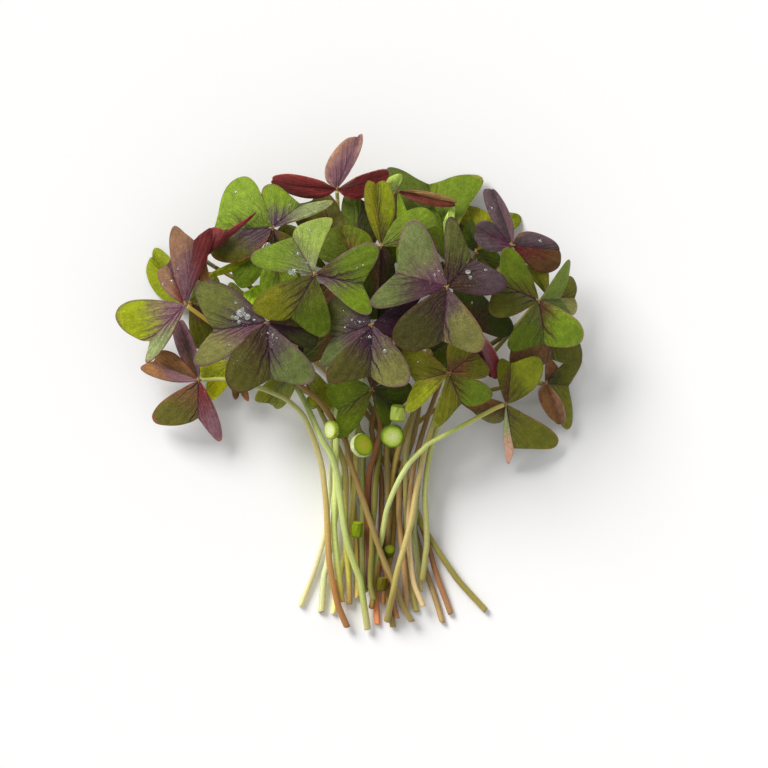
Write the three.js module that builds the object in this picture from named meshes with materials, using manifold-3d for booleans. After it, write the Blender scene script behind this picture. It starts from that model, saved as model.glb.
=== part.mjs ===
// A cut bunch of oxalis lying on a flat surface, seen from above as it lies.
// Millimetres, +Z up. +X is to the right and +Y away from the cut ends of the stems.
// Each leaf is three heart-shaped leaflets that meet in a small knob (the hub);
// each stem is a slim round stalk that ends just under its own leaf's knob.
import * as THREE from "three";
import Module from "manifold-3d";

// ---- driving dimensions (mm) ----
const BLADE = 0.7;          // thickness of a leaf blade
const ARCH = 0.055;         // height of the arch along a leaflet's midrib, as a share of its length
const HUB_R = 0.95;         // radius of the knob where three leaflets meet
const HUB_UP = 0.5;         // how far the knob stands above the meeting point
const HUB_DOWN = 1.15;      // and how far it reaches down towards its stem
const STEM_SIDES = 6;       // sides of a stalk

// kinds of leaflet half: h heart, e oval, w heart with a bulging side,
// f heart with a fuller lobe, n heart with a straight narrow side,
// t the same with a tall lobe that stands up from the notch
const LOBE = { h: 1.12, e: 0.75, w: 0.92, f: 1.05, n: 1.2, t: 1.2 };  // where along the midrib it is widest
// half outline in its own unit frame: [along the midrib, out to the side]
const HALF = {
  h: [[0, 0], [0.25, 0.315], [0.75, 0.84], [1.12, 1.0], [1.235, 0.80], [1.11, 0.32], [1.0, 0]],
  e: [[0, 0], [0.22, 0.47], [0.60, 0.95], [0.90, 0.95], [1.07, 0.58], [1.05, 0.15], [1.0, 0]],
  w: [[0, 0], [0.20, 0.43], [0.68, 0.93], [0.98, 0.99], [1.19, 0.76], [1.10, 0.26], [1.0, 0]],
  f: [[0, 0], [0.24, 0.36], [0.74, 0.88], [1.12, 0.99], [1.27, 0.70], [1.18, 0.27], [1.0, 0]],
  n: [[0, 0], [0.28, 0.20], [0.78, 0.64], [1.17, 0.99], [1.24, 0.80], [1.10, 0.30], [1.0, 0]],
  t: [[0, 0], [0.28, 0.20], [0.78, 0.64], [1.18, 0.99], [1.30, 0.64], [1.21, 0.20], [1.0, 0]],
};
const MID = [0, 0.2, 0.44, 0.66, 0.83, 0.94, 1.0];  // stations along the midrib

// ---- leaves: knob position, direction towards the stem, and for each leaflet
//      the notch at the end of its midrib, its two lobe points, the kind of its
//      halves (one letter, or one each), and how far below the middle of the knob it starts ----
const LEAVES = [
  ["leaf_01", "leaf_maroon", [-5.18, 77.49, 31.57], [0.007, -0.169, -0.986],
    [[[-30.78, 81.49, 23.48], [-17.58, 83.49, 32.73], [-19.18, 74.89, 22.52], "e"], [[15.22, 84.29, 24.35], [4.42, 83.89, 33], [5.62, 74.89, 22.95], "e"], [[2.82, 98.29, 32.76], [-9.58, 87.49, 31.72], [3.82, 92.29, 31.24], "e"]]],
  ["leaf_02", "leaf_green", [-31.18, 61.89, 32.38], [0.140, -0.328, -0.934],
    [[[-54.38, 60.69, 26.18], [-43.78, 82.49, 20.91], [-47.18, 47.69, 26.78], "hw"], [[-19.58, 71.09, 30.64], [-33.58, 79.09, 24.86], [-7.98, 70.49, 30.2], "hw"], [[-25.58, 49.89, 31.27], [-33.58, 49.89, 28.99], [-18.78, 53.89, 29.87], "h"]]],
  ["leaf_03", "leaf_brown", [-65.86, 31.29, 34.03], [0.805, -0.572, -0.154],
    [[[-79.98, 16.69, 26.77], [-92.58, 30.29, 22.12], [-76.98, 10.69, 24.97], "fw"], [[-62.38, 57.09, 36.75], [-71.98, 59.29, 32.58], [-54.78, 58.69, 34.53], "h"], [[-72.78, 47.49, 28.21], [-76.38, 40.69, 26.04], [-67.98, 50.29, 28.19], "h"]]],
  ["leaf_04", "leaf_brown", [-60.38, 1.09, 19.84], [0.959, 0.044, -0.280],
    [[[-78.38, 8.69, 15.82], [-79.38, 2.69, 13.2], [-71.58, 12.29, 17.49], "wh"], [[-67.98, 24.69, 20.14], [-69.98, 15.09, 17.22], [-61.98, 15.09, 18.31], "e"], [[-60.78, -14.11, 15.15], [-78.98, -13.11, 8.79], [-51.18, -20.51, 8.7], "fw"]]],
  ["leaf_05", "leaf_olive", [-33.18, 24.09, 45.94], [0.171, -0.358, -0.918],
    [[[-54.38, 21.09, 40.08], [-57.18, 40.89, 37.78], [-58.18, 6.69, 34.64], "w"], [[-31.58, 1.49, 41.62], [-49.98, 2.49, 36.51], [-13.58, 2.29, 41.22], "wh"], [[-12.78, 21.09, 43.36], [-12.78, 31.49, 42.7], [-16.78, 13.89, 41.31], "h"]]],
  ["leaf_06", "leaf_green", [-14.14, 43.37, 53.03], [0.008, -0.048, -0.999],
    [[[-22.78, 58.29, 49.9], [-39.58, 49.09, 45.74], [-7.02, 65.65, 48.2], "ht"], [[5.22, 39.09, 52.66], [9.82, 55.69, 49.11], [6.62, 26.89, 50.52], "h"], [[-23.58, 25.89, 51.04], [-37.98, 32.69, 46.74], [-8.78, 19.89, 50.33], "fh"]]],
  ["leaf_07", "leaf_olive", [8.62, 23.29, 48.72], [-0.010, -0.247, -0.969],
    [[[-7.18, 17.89, 46.56], [-4.78, 35.09, 46.42], [-10.78, 6.29, 42.33], "wh"], [[8.42, 2.69, 44.89], [-9.18, 2.29, 41.56], [24.02, 3.49, 42.85], "hf"], [[24.82, 28.69, 44.75], [28.02, 37.89, 42.63], [25.62, 17.49, 42.58], "hw"]]],
  ["leaf_08", "leaf_olive", [38.82, 38.29, 55.78], [-0.014, -0.310, -0.951],
    [[[18.42, 43.89, 55.74], [25.62, 65.09, 51], [9.22, 30.29, 53.1], "h"], [[48.82, 49.49, 53.2], [39.62, 65.89, 50], [61.42, 37.29, 49.02], "hw"], [[36.82, 16.69, 53.66], [16.82, 19.49, 52.85], [54.02, 14.69, 48.63], "fh"]]],
  ["leaf_09", "leaf_green", [75.54, 32.93, 38.08], [-0.113, -0.089, -0.990],
    [[[58.82, 39.89, 43.83], [64.02, 53.89, 39.46], [57.22, 26.69, 42.64], "h"], [[83.62, 33.49, 27.2], [87.02, 48.93, 26.25], [87.82, 27.09, 25.3], "eh"], [[77.62, 15.89, 34.99], [63.22, 14.69, 39.01], [93.42, 20.09, 25.97], "hf"]]],
  ["leaf_10", "leaf_purple", [64.82, 55.09, 37.26], [-0.066, -0.125, -0.990],
    [[[56.62, 77.09, 35.45], [54.62, 68.69, 38.05], [63.02, 68.29, 34], "e"], [[50.82, 60.29, 39.55], [56.02, 64.29, 36.18], [55.22, 52.69, 39.14], "e"], [[83.62, 53.09, 27.56], [72.02, 60.69, 32.11], [77.22, 43.89, 24.74], "e"]]],
  ["leaf_11", "leaf_green", [12.42, 54.69, 47.86], [-0.000, -0.065, -0.998],
    [[[10.42, 79.09, 41.88], [5.62, 72.69, 41.88], [18.02, 71.89, 40.3], "e"], [[34.02, 62.69, 43.84], [24.02, 69.49, 42.54], [29.62, 56.69, 42.79], "e"], [[10.82, 25.49, 41.54], [3.62, 38.29, 41.18], [18.42, 37.89, 41.46], "w"]]],
  ["leaf_12", "leaf_green", [39.62, 3.89, 36.84], [-0.122, -0.570, -0.813],
    [[[26.02, 0.69, 37.04], [23.22, 14.09, 37.98], [23.62, -12.11, 31.85], "wh"], [[50.02, 12.29, 35.09], [40.82, 16.69, 37.16], [55.22, 3.09, 31.94], "h"], [[44.42, -8.51, 32.68], [34.02, -16.91, 29.67], [56.82, -3.31, 29.85], "hf"]]],
  ["leaf_13", "leaf_green", [62.42, -8.51, 22.68], [-0.920, -0.382, 0.088],
    [[[64.42, 7.89, 27.4], [58.82, 7.09, 26.94], [77.42, 5.29, 18.97], "hw"], [[49.62, -11.71, 14.5], [47.22, -5.31, 14.57], [58.42, -16.51, 7.54], "wh", -1], [[65.62, -26.11, 13.46], [83.62, -23.31, 5.12], [62.42, -30.91, 5.64], "h"]]],
  ["leaf_14", "leaf_brown", [78.02, -0.11, 13.82], [-0.669, -0.035, -0.742],
    [[[82.82, 6.69, 9.75], [78.82, 9.49, 9.82], [83.22, 1.89, 8.62], "h"], [[84.02, -16.51, 9.04], [75.62, -7.31, 13.14], [85.22, -9.31, 9.34], "e"], [[87.22, -1.31, 6.12], [91.02, 10.69, 1.49], [86.42, -18.51, 2.42], "w"]]],
  ["leaf_15", "leaf_green", [79.22, 34.29, 24.51], [-0.335, -0.169, -0.927],
    [[[89.62, 33.89, 15.71], [87.42, 42.89, 16.64], [88.02, 26.89, 15.01], "e"], [[73.62, 45.09, 24.75], [67.22, 48.29, 25.76], [78.02, 48.29, 21.15], "h"], [[80.42, 9.49, 14.93], [63.62, 9.49, 18.79], [92.82, 10.29, 7.76], "wh"]]],
  ["leaf_16", "leaf_green", [38.42, 48.29, 22.89], [-0.003, -0.274, -0.962],
    [[[31.62, 79.09, 8.26], [14.02, 82.49, 2.15], [53.42, 81.89, 4.53], "hn"], [[37.22, 64.29, 21.28], [31.62, 69.49, 17.73], [42.02, 70.29, 17.56], "h"], [[32.02, 38.69, 18.08], [29.62, 45.09, 15.85], [33.62, 33.09, 17.34], "h"]]],
  ["leaf_17", "leaf_green", [8.82, -2.71, 29.84], [0.188, -0.515, -0.836],
    [[[-4.78, -10.91, 26.26], [-6.38, 1.09, 27.95], [-1.18, -21.31, 21.56], "w"], [[18.42, -10.51, 26.29], [23.62, -0.11, 28.27], [13.62, -16.51, 24.24], "wh"], [[14.42, 14.69, 31.28], [6.02, 13.49, 31], [21.22, 12.29, 30.37], "h"]]],
  ["leaf_18", "leaf_maroon", [18.82, 76.69, 20.33], [-0.394, -0.659, -0.641],
    [[[41.62, 71.89, 20.3], [32.82, 76.09, 21.17], [31.22, 71.09, 21.23], "e"], [[20.82, 83.49, 20.69], [14.02, 79.89, 20.3], [20.02, 79.49, 21.52], "e"], [[18.42, 48.29, 16.57], [13.22, 60.29, 16.76], [24.02, 59.49, 16.79], "e"]]],
  ["leaf_19", "leaf_maroon", [-57.78, 50.29, 31.96], [0.007, -0.213, -0.977],
    [[[-49.58, 60.29, 33.86], [-56.78, 61.09, 29.13], [-37.58, 67.89, 32.07], "h"], [[-59.98, 41.09, 27.17], [-65.58, 45.09, 25.02], [-55.98, 37.09, 26.28], "h"]]],
  ["leaf_20", "leaf_green", [-63.98, 31.89, 9.89], [0.532, -0.060, -0.845],
    [[[-78.78, 50.29, 1.92], [-77.78, 36.29, 2.39], [-71.18, 49.49, 4.14], "e"], [[-54.38, 21.09, 10.33], [-61.58, 13.89, 6.92], [-49.98, 27.09, 11.69], "h"], [[-51.18, 37.89, 11.04], [-57.18, 44.29, 10.21], [-49.58, 29.89, 11.96], "h"]]],
  ["leaf_21", "leaf_green", [-45.58, 9.09, 13.85], [0.543, -0.094, -0.835],
    [[[-57.18, 0.69, 7.56], [-59.98, 6.69, 6.87], [-53.18, -6.11, 5.46], "hw"], [[-43.98, -3.71, 9.8], [-47.18, -4.11, 8.77], [-40.38, -4.91, 9.84], "e"], [[-42.38, 36.29, 15.98], [-49.58, 36.69, 13.14], [-34.78, 34.69, 16.01], "h"]]],
  ["leaf_22", "leaf_green", [-19.98, 8.29, 21.84], [0.108, -0.678, -0.727],
    [[[-32.38, -8.11, 15.4], [-37.38, -3.91, 14.22], [-25.38, -8.31, 15.56], "h"], [[-11.18, -10.91, 17.05], [-14.38, -3.71, 18.23], [-7.18, -2.11, 18.74], "e"], [[-11.18, 39.49, 20.33], [-18.78, 33.89, 19.53], [-0.38, 23.09, 19.95], "hw"]]],
  ["leaf_23", "leaf_green", [-29.58, 54.69, 26.85], [0.277, -0.477, -0.834],
    [[[-47.18, 44.29, 23.85], [-56.38, 43.49, 20.18], [-40.78, 38.29, 22.66], "h"], [[-27.58, 35.89, 26.28], [-35.98, 37.89, 25.78], [-18.78, 36.29, 27.69], "h"], [[-15.58, 53.49, 22.89], [-23.98, 63.09, 19.46], [-10.78, 45.89, 22.33], "wh"]]],
  ["leaf_24", "leaf_green", [1.22, 48.29, 29.72], [-0.077, -0.586, -0.807],
    [[[-3.18, 62.69, 27.96], [-14.38, 53.09, 26.04], [9.22, 56.29, 27.35], "we"], [[4.82, 73.09, 22.06], [-3.18, 72.69, 20.68], [12.02, 61.49, 24.06], "h"], [[-15.18, 72.69, 21.08], [-21.98, 64.29, 20.81], [-6.78, 74.29, 20.71], "h"]]],
  ["leaf_25", "leaf_green", [50.42, 52.29, 15.3], [-0.109, -0.434, -0.894],
    [[[46.42, 62.69, 14.9], [41.82, 60.29, 14.88], [49.62, 64.29, 11.72], "wh"], [[56.42, 67.49, 6.44], [43.62, 69.49, 7.07], [68.42, 64.89, 1.06], "h"], [[57.62, 45.09, 13.34], [59.02, 52.09, 12.02], [53.62, 38.29, 14.35], "wh"]]],
  ["leaf_26", "leaf_brown", [48.82, 22.69, 31.01], [-0.139, -0.353, -0.925],
    [[[56.42, 2.29, 25.29], [51.22, 11.89, 27.79], [59.02, 10.29, 23.48], "e"], [[55.22, 32.69, 26.9], [41.62, 39.09, 27.75], [64.82, 19.89, 21.18], "w"], [[33.22, 12.29, 28.08], [32.02, 20.29, 28.12], [36.02, 4.69, 24.97], "h"]]],
];

// ---- stems: [x, y, z, radius] from the cut end up to just under the knob ----
const STEMS = [
  ["stem_01", "stem_green", [[-6.66, -92.47, 1.06, 1.2], [-5.28, -84.19, 1.12, 1.19], [-4.11, -77.31, 1.71, 1.19], [-0.03, -61.03, 3.67, 1.17], [2.04, -38.76, 5.92, 1.15], [2.35, -31.84, 6.76, 1.14], [1.22, -13.91, 9.42, 1.12], [-0.13, 4.01, 13.31, 1.09], [-2.24, 30.5, 14.12, 1.01], [-3.24, 45.89, 13.88, 0.96], [-4.22, 57.05, 13.1, 0.93], [-4.59, 62.44, 13.45, 0.91], [-4.83, 68.23, 15.43, 0.89], [-5.07, 74.55, 19.4, 0.86], [-5.1, 75.5, 23.23, 0.85], [-5.14, 76.45, 30.43, 0.85]]],
  ["stem_02", "stem_green", [[6.5, -83.8, 3.67, 1.2], [5.38, -79.78, 3.92, 1.2], [5, -71.34, 3.89, 1.19], [5, -54.46, 4.17, 1.17], [5.07, -41.84, 5.09, 1.16], [5.08, -34.86, 5.99, 1.15], [5.16, -29.37, 7.25, 1.14], [4.17, -21.36, 9.72, 1.13], [2.78, -16.18, 11.34, 1.13], [-0.15, -7.16, 13.64, 1.12], [-6.7, 13.85, 16.08, 1.04], [-12.37, 26.59, 15.72, 1], [-19.21, 40.51, 17.17, 0.94], [-27.79, 54.75, 17.76, 0.89], [-28.94, 56.85, 18.52, 0.88], [-29.71, 58.47, 19.95, 0.87], [-30.2, 59.68, 21.67, 0.86], [-30.45, 60.3, 24.83, 0.85], [-30.77, 61.02, 25.49, 0.85]]],
  ["stem_03", "stem_tan", [[24.95, -95.7, 3.94, 1.25], [20.72, -88.66, 5.45, 1.24], [17.94, -81.24, 8.18, 1.23], [11.75, -66.29, 11.6, 1.21], [9.5, -59.83, 12.76, 1.21], [5.98, -49.23, 12.98, 1.2], [3.78, -42.65, 13.56, 1.19], [-0.13, -31.08, 15.97, 1.17], [-1.29, -24.6, 17.76, 1.17], [-3.57, -20, 19.38, 1.16], [-6.94, -14.64, 21.93, 1.13], [-12.3, -7.46, 27.75, 1.09], [-16.58, -3.67, 28.92, 1.07], [-23.28, 1.69, 29.87, 1.04], [-38.47, 12.11, 29.94, 0.97], [-46.57, 17.63, 30.5, 0.93], [-54.61, 23.14, 31.48, 0.9], [-64.62, 30.4, 33.78, 0.85]]],
  ["stem_04", "stem_green", [[-1.1, -97.74, 3.06, 1.35], [-5.16, -87.58, 5.59, 1.33], [-7.9, -74.11, 7.89, 1.31], [-8.51, -68.62, 8.73, 1.31], [-9.37, -50.56, 10.88, 1.28], [-11.19, -34.11, 13.66, 1.26], [-12.45, -28.87, 15.2, 1.23], [-14.1, -23.84, 17.06, 1.2], [-16.93, -16.55, 20.17, 1.15], [-18.72, -13.12, 21.79, 1.13], [-21.19, -10.17, 23.44, 1.1], [-25.27, -6.87, 25.38, 1.07], [-27.64, -5.47, 25.85, 1.05], [-32.78, -3.27, 25.74, 1.02], [-36.65, -1.89, 24.83, 0.99], [-41.64, -0.33, 22.8, 0.96], [-50.69, 1.44, 19.48, 0.9], [-56.21, 1.28, 18.65, 0.87], [-58.89, 1.16, 19.44, 0.85]]],
  ["stem_05", "stem_green", [[7.12, -98.94, 2.56, 1.35], [4.26, -80.12, 7.32, 1.32], [-1.85, -60.55, 12.07, 1.3], [-5, -38.55, 15.46, 1.27], [-6.14, -33.18, 16.59, 1.26], [-7.39, -29.33, 17.68, 1.26], [-10.11, -24.63, 18.98, 1.22], [-11.47, -22.19, 19.15, 1.21], [-17.26, -9.47, 17.43, 1.13], [-21.15, -2.04, 16.27, 1.08], [-22.46, 0.45, 16.36, 1.07], [-23.64, 2.92, 16.98, 1.05], [-26.17, 8.83, 19.86, 1.01], [-27.52, 12.04, 22.36, 0.99], [-28.34, 13.91, 24.37, 0.97], [-29.99, 17.42, 30.38, 0.94], [-32.9, 23.5, 44.53, 0.85]]],
  ["stem_06", "stem_green", [[-19.86, -89.51, 1.34, 1.2], [-14.78, -76.45, 2.01, 1.19], [-10.78, -63.06, 3.16, 1.17], [-8.82, -49.26, 4.69, 1.16], [-7.61, -35.59, 7.41, 1.14], [-7.53, -12.38, 12.71, 1.11], [-8.75, 6.96, 16.21, 1.04], [-10.36, 20.69, 18.07, 1], [-11.08, 26.15, 17.89, 0.98], [-12.5, 34.49, 16.53, 0.95], [-13.87, 41.68, 17.91, 0.87], [-14.08, 43.02, 51.52, 0.85]]],
  ["stem_07", "stem_green", [[-11.46, -91.95, 1.3, 1.35], [-10.37, -78.13, 2.77, 1.33], [-8.89, -71.38, 3.62, 1.32], [-5.04, -48.16, 6.17, 1.29], [-2.58, -36.01, 7.83, 1.27], [-1.68, -32.01, 8.73, 1.26], [2.09, -14.87, 14.51, 1.18], [6.3, 6.27, 19.23, 1.05], [7.06, 10.07, 20.4, 1.03], [7.5, 12.37, 21.59, 1.01], [7.82, 14.28, 23.25, 0.99], [8.21, 17.48, 28.43, 0.95], [8.51, 20.9, 39.29, 0.89], [8.59, 22.83, 47.24, 0.85]]],
  ["stem_08", "stem_tan", [[26.71, -91.71, 1.11, 1.25], [23.52, -76.73, 2.55, 1.23], [22.48, -65.66, 3.97, 1.22], [22.39, -51.77, 6.35, 1.2], [22.44, -29.93, 11.93, 1.18], [23.37, -22.02, 14.25, 1.17], [25, -14.17, 16.45, 1.15], [29.43, 1.75, 19.18, 1.08], [33.47, 14.83, 22.05, 1.02], [34.69, 18.65, 23.28, 1], [36.07, 23.28, 26.04, 0.98], [36.58, 25.19, 28.02, 0.97], [37.16, 27.58, 31.42, 0.95], [38.62, 35.08, 46.37, 0.88], [38.77, 37.75, 54.32, 0.85]]],
  ["stem_09", "stem_green", [[28.23, -83.72, 2.13, 1.2], [27.93, -78.15, 2.53, 1.19], [26.81, -68.46, 3.82, 1.18], [25.7, -60.25, 5.61, 1.17], [25.66, -56.12, 6.59, 1.17], [26.18, -52.02, 7.39, 1.16], [28.18, -32.9, 8.97, 1.14], [30.66, -25.15, 10.12, 1.13], [32.89, -20.26, 11, 1.12], [35.62, -15.55, 11.49, 1.11], [42.9, -5.49, 11.03, 1.07], [55.94, 10.55, 16.26, 0.99], [69.96, 26.59, 19, 0.9], [71.91, 28.99, 20.28, 0.89], [74.5, 32.04, 23, 0.86], [74.79, 32.25, 27.77, 0.86], [75.1, 32.51, 28.26, 0.85]]],
  ["stem_10", "stem_red", [[10.98, -96.89, 1.06, 1.2], [10.36, -87.11, 1.06, 1.19], [11, -77.37, 1.38, 1.18], [12.08, -67.67, 2.11, 1.17], [14.71, -52.55, 3.98, 1.16], [15.74, -44.27, 5.74, 1.15], [16.87, -37.47, 7.72, 1.14], [18.32, -30.73, 8.48, 1.13], [20.36, -24.17, 9.29, 1.13], [27.03, -9.03, 10.99, 1.1], [31.99, 0.82, 13.1, 1.07], [37.97, 11.82, 13.65, 1.03], [42.81, 20.24, 13.55, 1], [47.7, 28.54, 12.92, 0.97], [58.87, 46.52, 10.16, 0.9], [61.58, 50.59, 10, 0.88], [62.2, 51.41, 10.35, 0.88], [64.5, 54.56, 35.83, 0.85]]],
  ["stem_11", "stem_tan", [[17.27, -98.08, 1.48, 1.2], [15.54, -87.01, 2.82, 1.19], [15.01, -79.95, 3.64, 1.18], [14.84, -73.04, 3.74, 1.18], [14.77, -67.48, 3.27, 1.17], [15.25, -56.51, 5.85, 1.16], [15.07, -41.3, 9.12, 1.14], [14.32, -16.47, 12.88, 1.12], [13.77, -1.33, 13.23, 1.07], [13.26, 11.1, 14.31, 1.03], [12.77, 27.56, 15.13, 0.98], [12.59, 35.55, 15.05, 0.96], [12.4, 46.46, 13.98, 0.92], [12.42, 53.09, 14.87, 0.86], [12.42, 53.45, 15.69, 0.86], [12.42, 53.82, 26.91, 0.85], [12.42, 54.22, 27.45, 0.85]]],
  ["stem_12", "stem_tan", [[14.73, -95.65, 4.12, 1.35], [17, -85.04, 10.24, 1.33], [17.53, -82.43, 11.03, 1.32], [19.21, -74.31, 11.53, 1.31], [24.13, -57, 12.54, 1.28], [26.25, -44.7, 13.56, 1.26], [28.33, -33.86, 15.09, 1.18], [30.74, -24.69, 17.36, 1.11], [33.39, -15.95, 20.79, 1.03], [35.63, -8.88, 24.64, 0.97], [38.57, -0.43, 31.29, 0.89], [39.38, 2.93, 35.65, 0.85]]],
  ["stem_13", "stem_green", [[8.44, -90.1, 3.09, 1.2], [9.7, -83.36, 4, 1.19], [9.84, -79.18, 4.54, 1.18], [10.34, -72.32, 6.15, 1.17], [10.65, -69.6, 6.98, 1.17], [12.44, -63.16, 8.75, 1.16], [14.25, -52.89, 12.32, 1.14], [15.26, -49.13, 13.79, 1.13], [17.63, -43.05, 16.21, 1.12], [19.96, -38.28, 17.94, 1.11], [22.73, -33.65, 19.4, 1.08], [24.38, -31.45, 19.94, 1.06], [29.24, -26.5, 20.87, 1.03], [33.69, -23.16, 21.46, 1], [55.93, -11.36, 23.04, 0.88], [59.73, -9.58, 23.24, 0.86], [61.01, -9.08, 22.96, 0.85]]],
  ["stem_14", "stem_tan", [[13.06, -88.57, 1.06, 1.2], [13.77, -81.72, 1.06, 1.19], [16.25, -69.3, 1.04, 1.17], [17.12, -62.3, 1.12, 1.17], [17.94, -49.73, 1.2, 1.15], [17.96, -38.53, 1, 1.13], [18.47, -32.94, 0.99, 1.13], [18.96, -30.17, 1, 1.12], [19.84, -26.09, 1.77, 1.12], [22.17, -21.05, 2.87, 1.1], [24.9, -17.9, 3.67, 1.08], [30.29, -13.49, 4.87, 1.06], [36.16, -9.74, 5.9, 1.03], [42.41, -6.68, 6.81, 1], [49.05, -4.57, 7.62, 0.97], [59.93, -2.13, 8.78, 0.92], [71, -0.68, 9.53, 0.88], [73.71, -0.41, 10.12, 0.87], [74.92, -0.3, 10.8, 0.86], [76.79, -0.2, 12.88, 0.85]]],
  ["stem_15", "stem_green", [[9.65, -87.08, 6.43, 1.25], [8.27, -80.26, 6.89, 1.24], [8.81, -67.96, 9.34, 1.23], [8.98, -58.3, 9.88, 1.22], [9.86, -48.6, 10.03, 1.21], [10.36, -38.91, 10.64, 1.2], [11.84, -25.14, 10.98, 1.18], [13.31, -15.51, 10.42, 1.17], [14.74, -11.57, 10.51, 1.17], [17.38, -8.32, 10.66, 1.16], [21.89, -4.99, 10.65, 1.14], [31.59, 0.62, 10.49, 1.09], [37.59, 4.17, 11.47, 1.06], [55.53, 14.81, 13, 0.98], [63.55, 20.26, 14.06, 0.94], [69.67, 25.77, 15.5, 0.91], [75.25, 31.52, 17.86, 0.88], [76.98, 32.96, 19.46, 0.87], [78.47, 33.76, 23.26, 0.85]]],
  ["stem_16", "stem_tan", [[22.42, -92.49, 1.47, 1.25], [22.12, -78.83, 4.75, 1.23], [21.68, -73.31, 5.61, 1.23], [20.45, -62.23, 6.65, 1.21], [19.7, -53.87, 6.94, 1.2], [20.09, -39.89, 7.65, 1.19], [21.44, -33.1, 8.32, 1.18], [25.72, -20.05, 11.62, 1.16], [27.84, -6.3, 14.02, 1.1], [29.78, 6.1, 14.42, 1.05], [34.94, 27.85, 14.4, 0.95], [37.56, 41.55, 15.18, 0.89], [38.2, 45.43, 16.5, 0.87], [38.32, 46.32, 17.56, 0.87], [38.34, 47.53, 21.55, 0.85]]],
  ["stem_17", "stem_red", [[7.97, -81.66, 1.78, 1.35], [7.74, -66.43, 4.71, 1.32], [7.09, -49.81, 7.47, 1.28], [7.25, -41.57, 9.18, 1.26], [8.02, -34.88, 11.15, 1.21], [10.64, -25.89, 14.06, 1.12], [11.91, -19.34, 16.05, 1.05], [11.77, -14.34, 18.45, 1], [10.62, -8.6, 22.19, 0.93], [10.14, -6.59, 24.04, 0.9], [9.1, -3.6, 28.6, 0.85]]],
  ["stem_18", "stem_red", [[18.84, -94.36, 3.73, 1.15], [17.16, -87.7, 5.06, 1.14], [16.69, -83.51, 5.58, 1.14], [16.79, -80.57, 5.67, 1.14], [16.02, -77.7, 6.2, 1.13], [14, -73.87, 6.34, 1.13], [12.69, -69.95, 5.29, 1.13], [12.18, -67.24, 5.01, 1.12], [12.45, -56.15, 6.07, 1.11], [12.74, -43.56, 6.55, 1.1], [12.49, -37.98, 6.9, 1.1], [11.85, -33.88, 7.47, 1.09], [9.93, -25.85, 9.11, 1.09], [8.73, -17.71, 11.32, 1.08], [9.67, -12.28, 12.81, 1.07], [12.67, -3.13, 15.46, 1.05], [13.88, 0.88, 16, 1.04], [15.05, 6.37, 16.19, 1.03], [16.43, 21.76, 15.75, 0.99], [16.81, 41.38, 14.66, 0.94], [16.35, 48.38, 14.24, 0.92], [14.4, 63.66, 14.51, 0.89], [14.7, 67.8, 15.19, 0.87], [15.94, 71.63, 16.5, 0.86], [17.82, 75.06, 18.1, 0.85], [18.27, 75.78, 19.2, 0.85]]],
  ["stem_19", "stem_tan", [[37.1, -95.91, 1.01, 1.15], [33.42, -83.86, 1.05, 1.14], [30.08, -74.66, 1.41, 1.13], [20.57, -41.08, 2.35, 1.1], [17.51, -31.98, 5.44, 1.09], [15.56, -25.29, 6.63, 1.09], [13.54, -20.14, 7.44, 1.08], [7.1, -7.96, 9.24, 1.07], [0.55, 2.56, 10.58, 1.04], [-4.39, 9.2, 11.95, 1.02], [-10.01, 15.3, 13.1, 1], [-17.23, 21.76, 14.1, 0.98], [-24.84, 27.78, 14.53, 0.95], [-31.52, 32.75, 14.28, 0.94], [-37.25, 36.68, 13.53, 0.92], [-42.03, 39.54, 12.39, 0.91], [-52.84, 45.61, 9.01, 0.88], [-54.92, 46.88, 14.15, 0.87], [-56.48, 47.87, 20.01, 0.86], [-57.68, 48.77, 26.13, 0.86], [-58.02, 49.31, 29.22, 0.85], [-57.71, 49.73, 30.52, 0.85]]],
  ["stem_20", "stem_tan", [[40.42, -92.51, 1.01, 1.15], [34.71, -76.87, 2.42, 1.13], [32, -67.49, 2.51, 1.13], [27.31, -52.84, 1.84, 1.11], [21.81, -36.87, 2.67, 1.1], [19.4, -31.79, 3.49, 1.09], [13.77, -22.18, 4.06, 1.08], [4.53, -9.89, 4.61, 1.06], [-3.87, -0.53, 4.76, 1.03], [-12.02, 7.12, 4.81, 1], [-19.81, 13.04, 4.79, 0.97], [-30.39, 19.83, 4.73, 0.94], [-40.2, 25.2, 4.85, 0.91], [-48.01, 28.22, 5.2, 0.89], [-60.17, 31.15, 6.38, 0.86], [-61.48, 31.51, 6.73, 0.86], [-62.48, 31.71, 7.58, 0.85], [-62.83, 31.66, 8.88, 0.85]]],
  ["stem_21", "stem_tan", [[54.54, -91.31, 1.21, 1.25], [45.11, -81.06, 2.25, 1.23], [40.81, -75.6, 2.89, 1.23], [31.74, -61.64, 4.63, 1.21], [23.35, -47.14, 4.67, 1.19], [12.2, -29.4, 5.46, 1.15], [7.91, -23.94, 5.76, 1.12], [1.23, -16.84, 6.2, 1.08], [-4.96, -11.22, 6.62, 1.05], [-10.65, -7.19, 6.94, 1.02], [-33.22, 3.73, 8.38, 0.91], [-41.85, 8.01, 9.94, 0.87], [-43.02, 8.51, 10.49, 0.86], [-44.51, 8.77, 12.77, 0.85]]],
  ["stem_22", "stem_green", [[-0.26, -88.9, 2.6, 1.2], [-0.39, -77.74, 4.05, 1.18], [-1.42, -66.61, 5.59, 1.16], [-1.78, -55.48, 6.84, 1.14], [-1.57, -40.32, 9.65, 1.12], [-2.26, -33.54, 11.17, 1.09], [-5.33, -24.59, 12.44, 1.04], [-9.66, -15.98, 14.29, 0.99], [-16.83, -0.81, 16.35, 0.9], [-19.53, 5.36, 18.7, 0.86], [-19.86, 6.47, 19.54, 0.86], [-19.83, 7.24, 20.72, 0.85]]],
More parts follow.
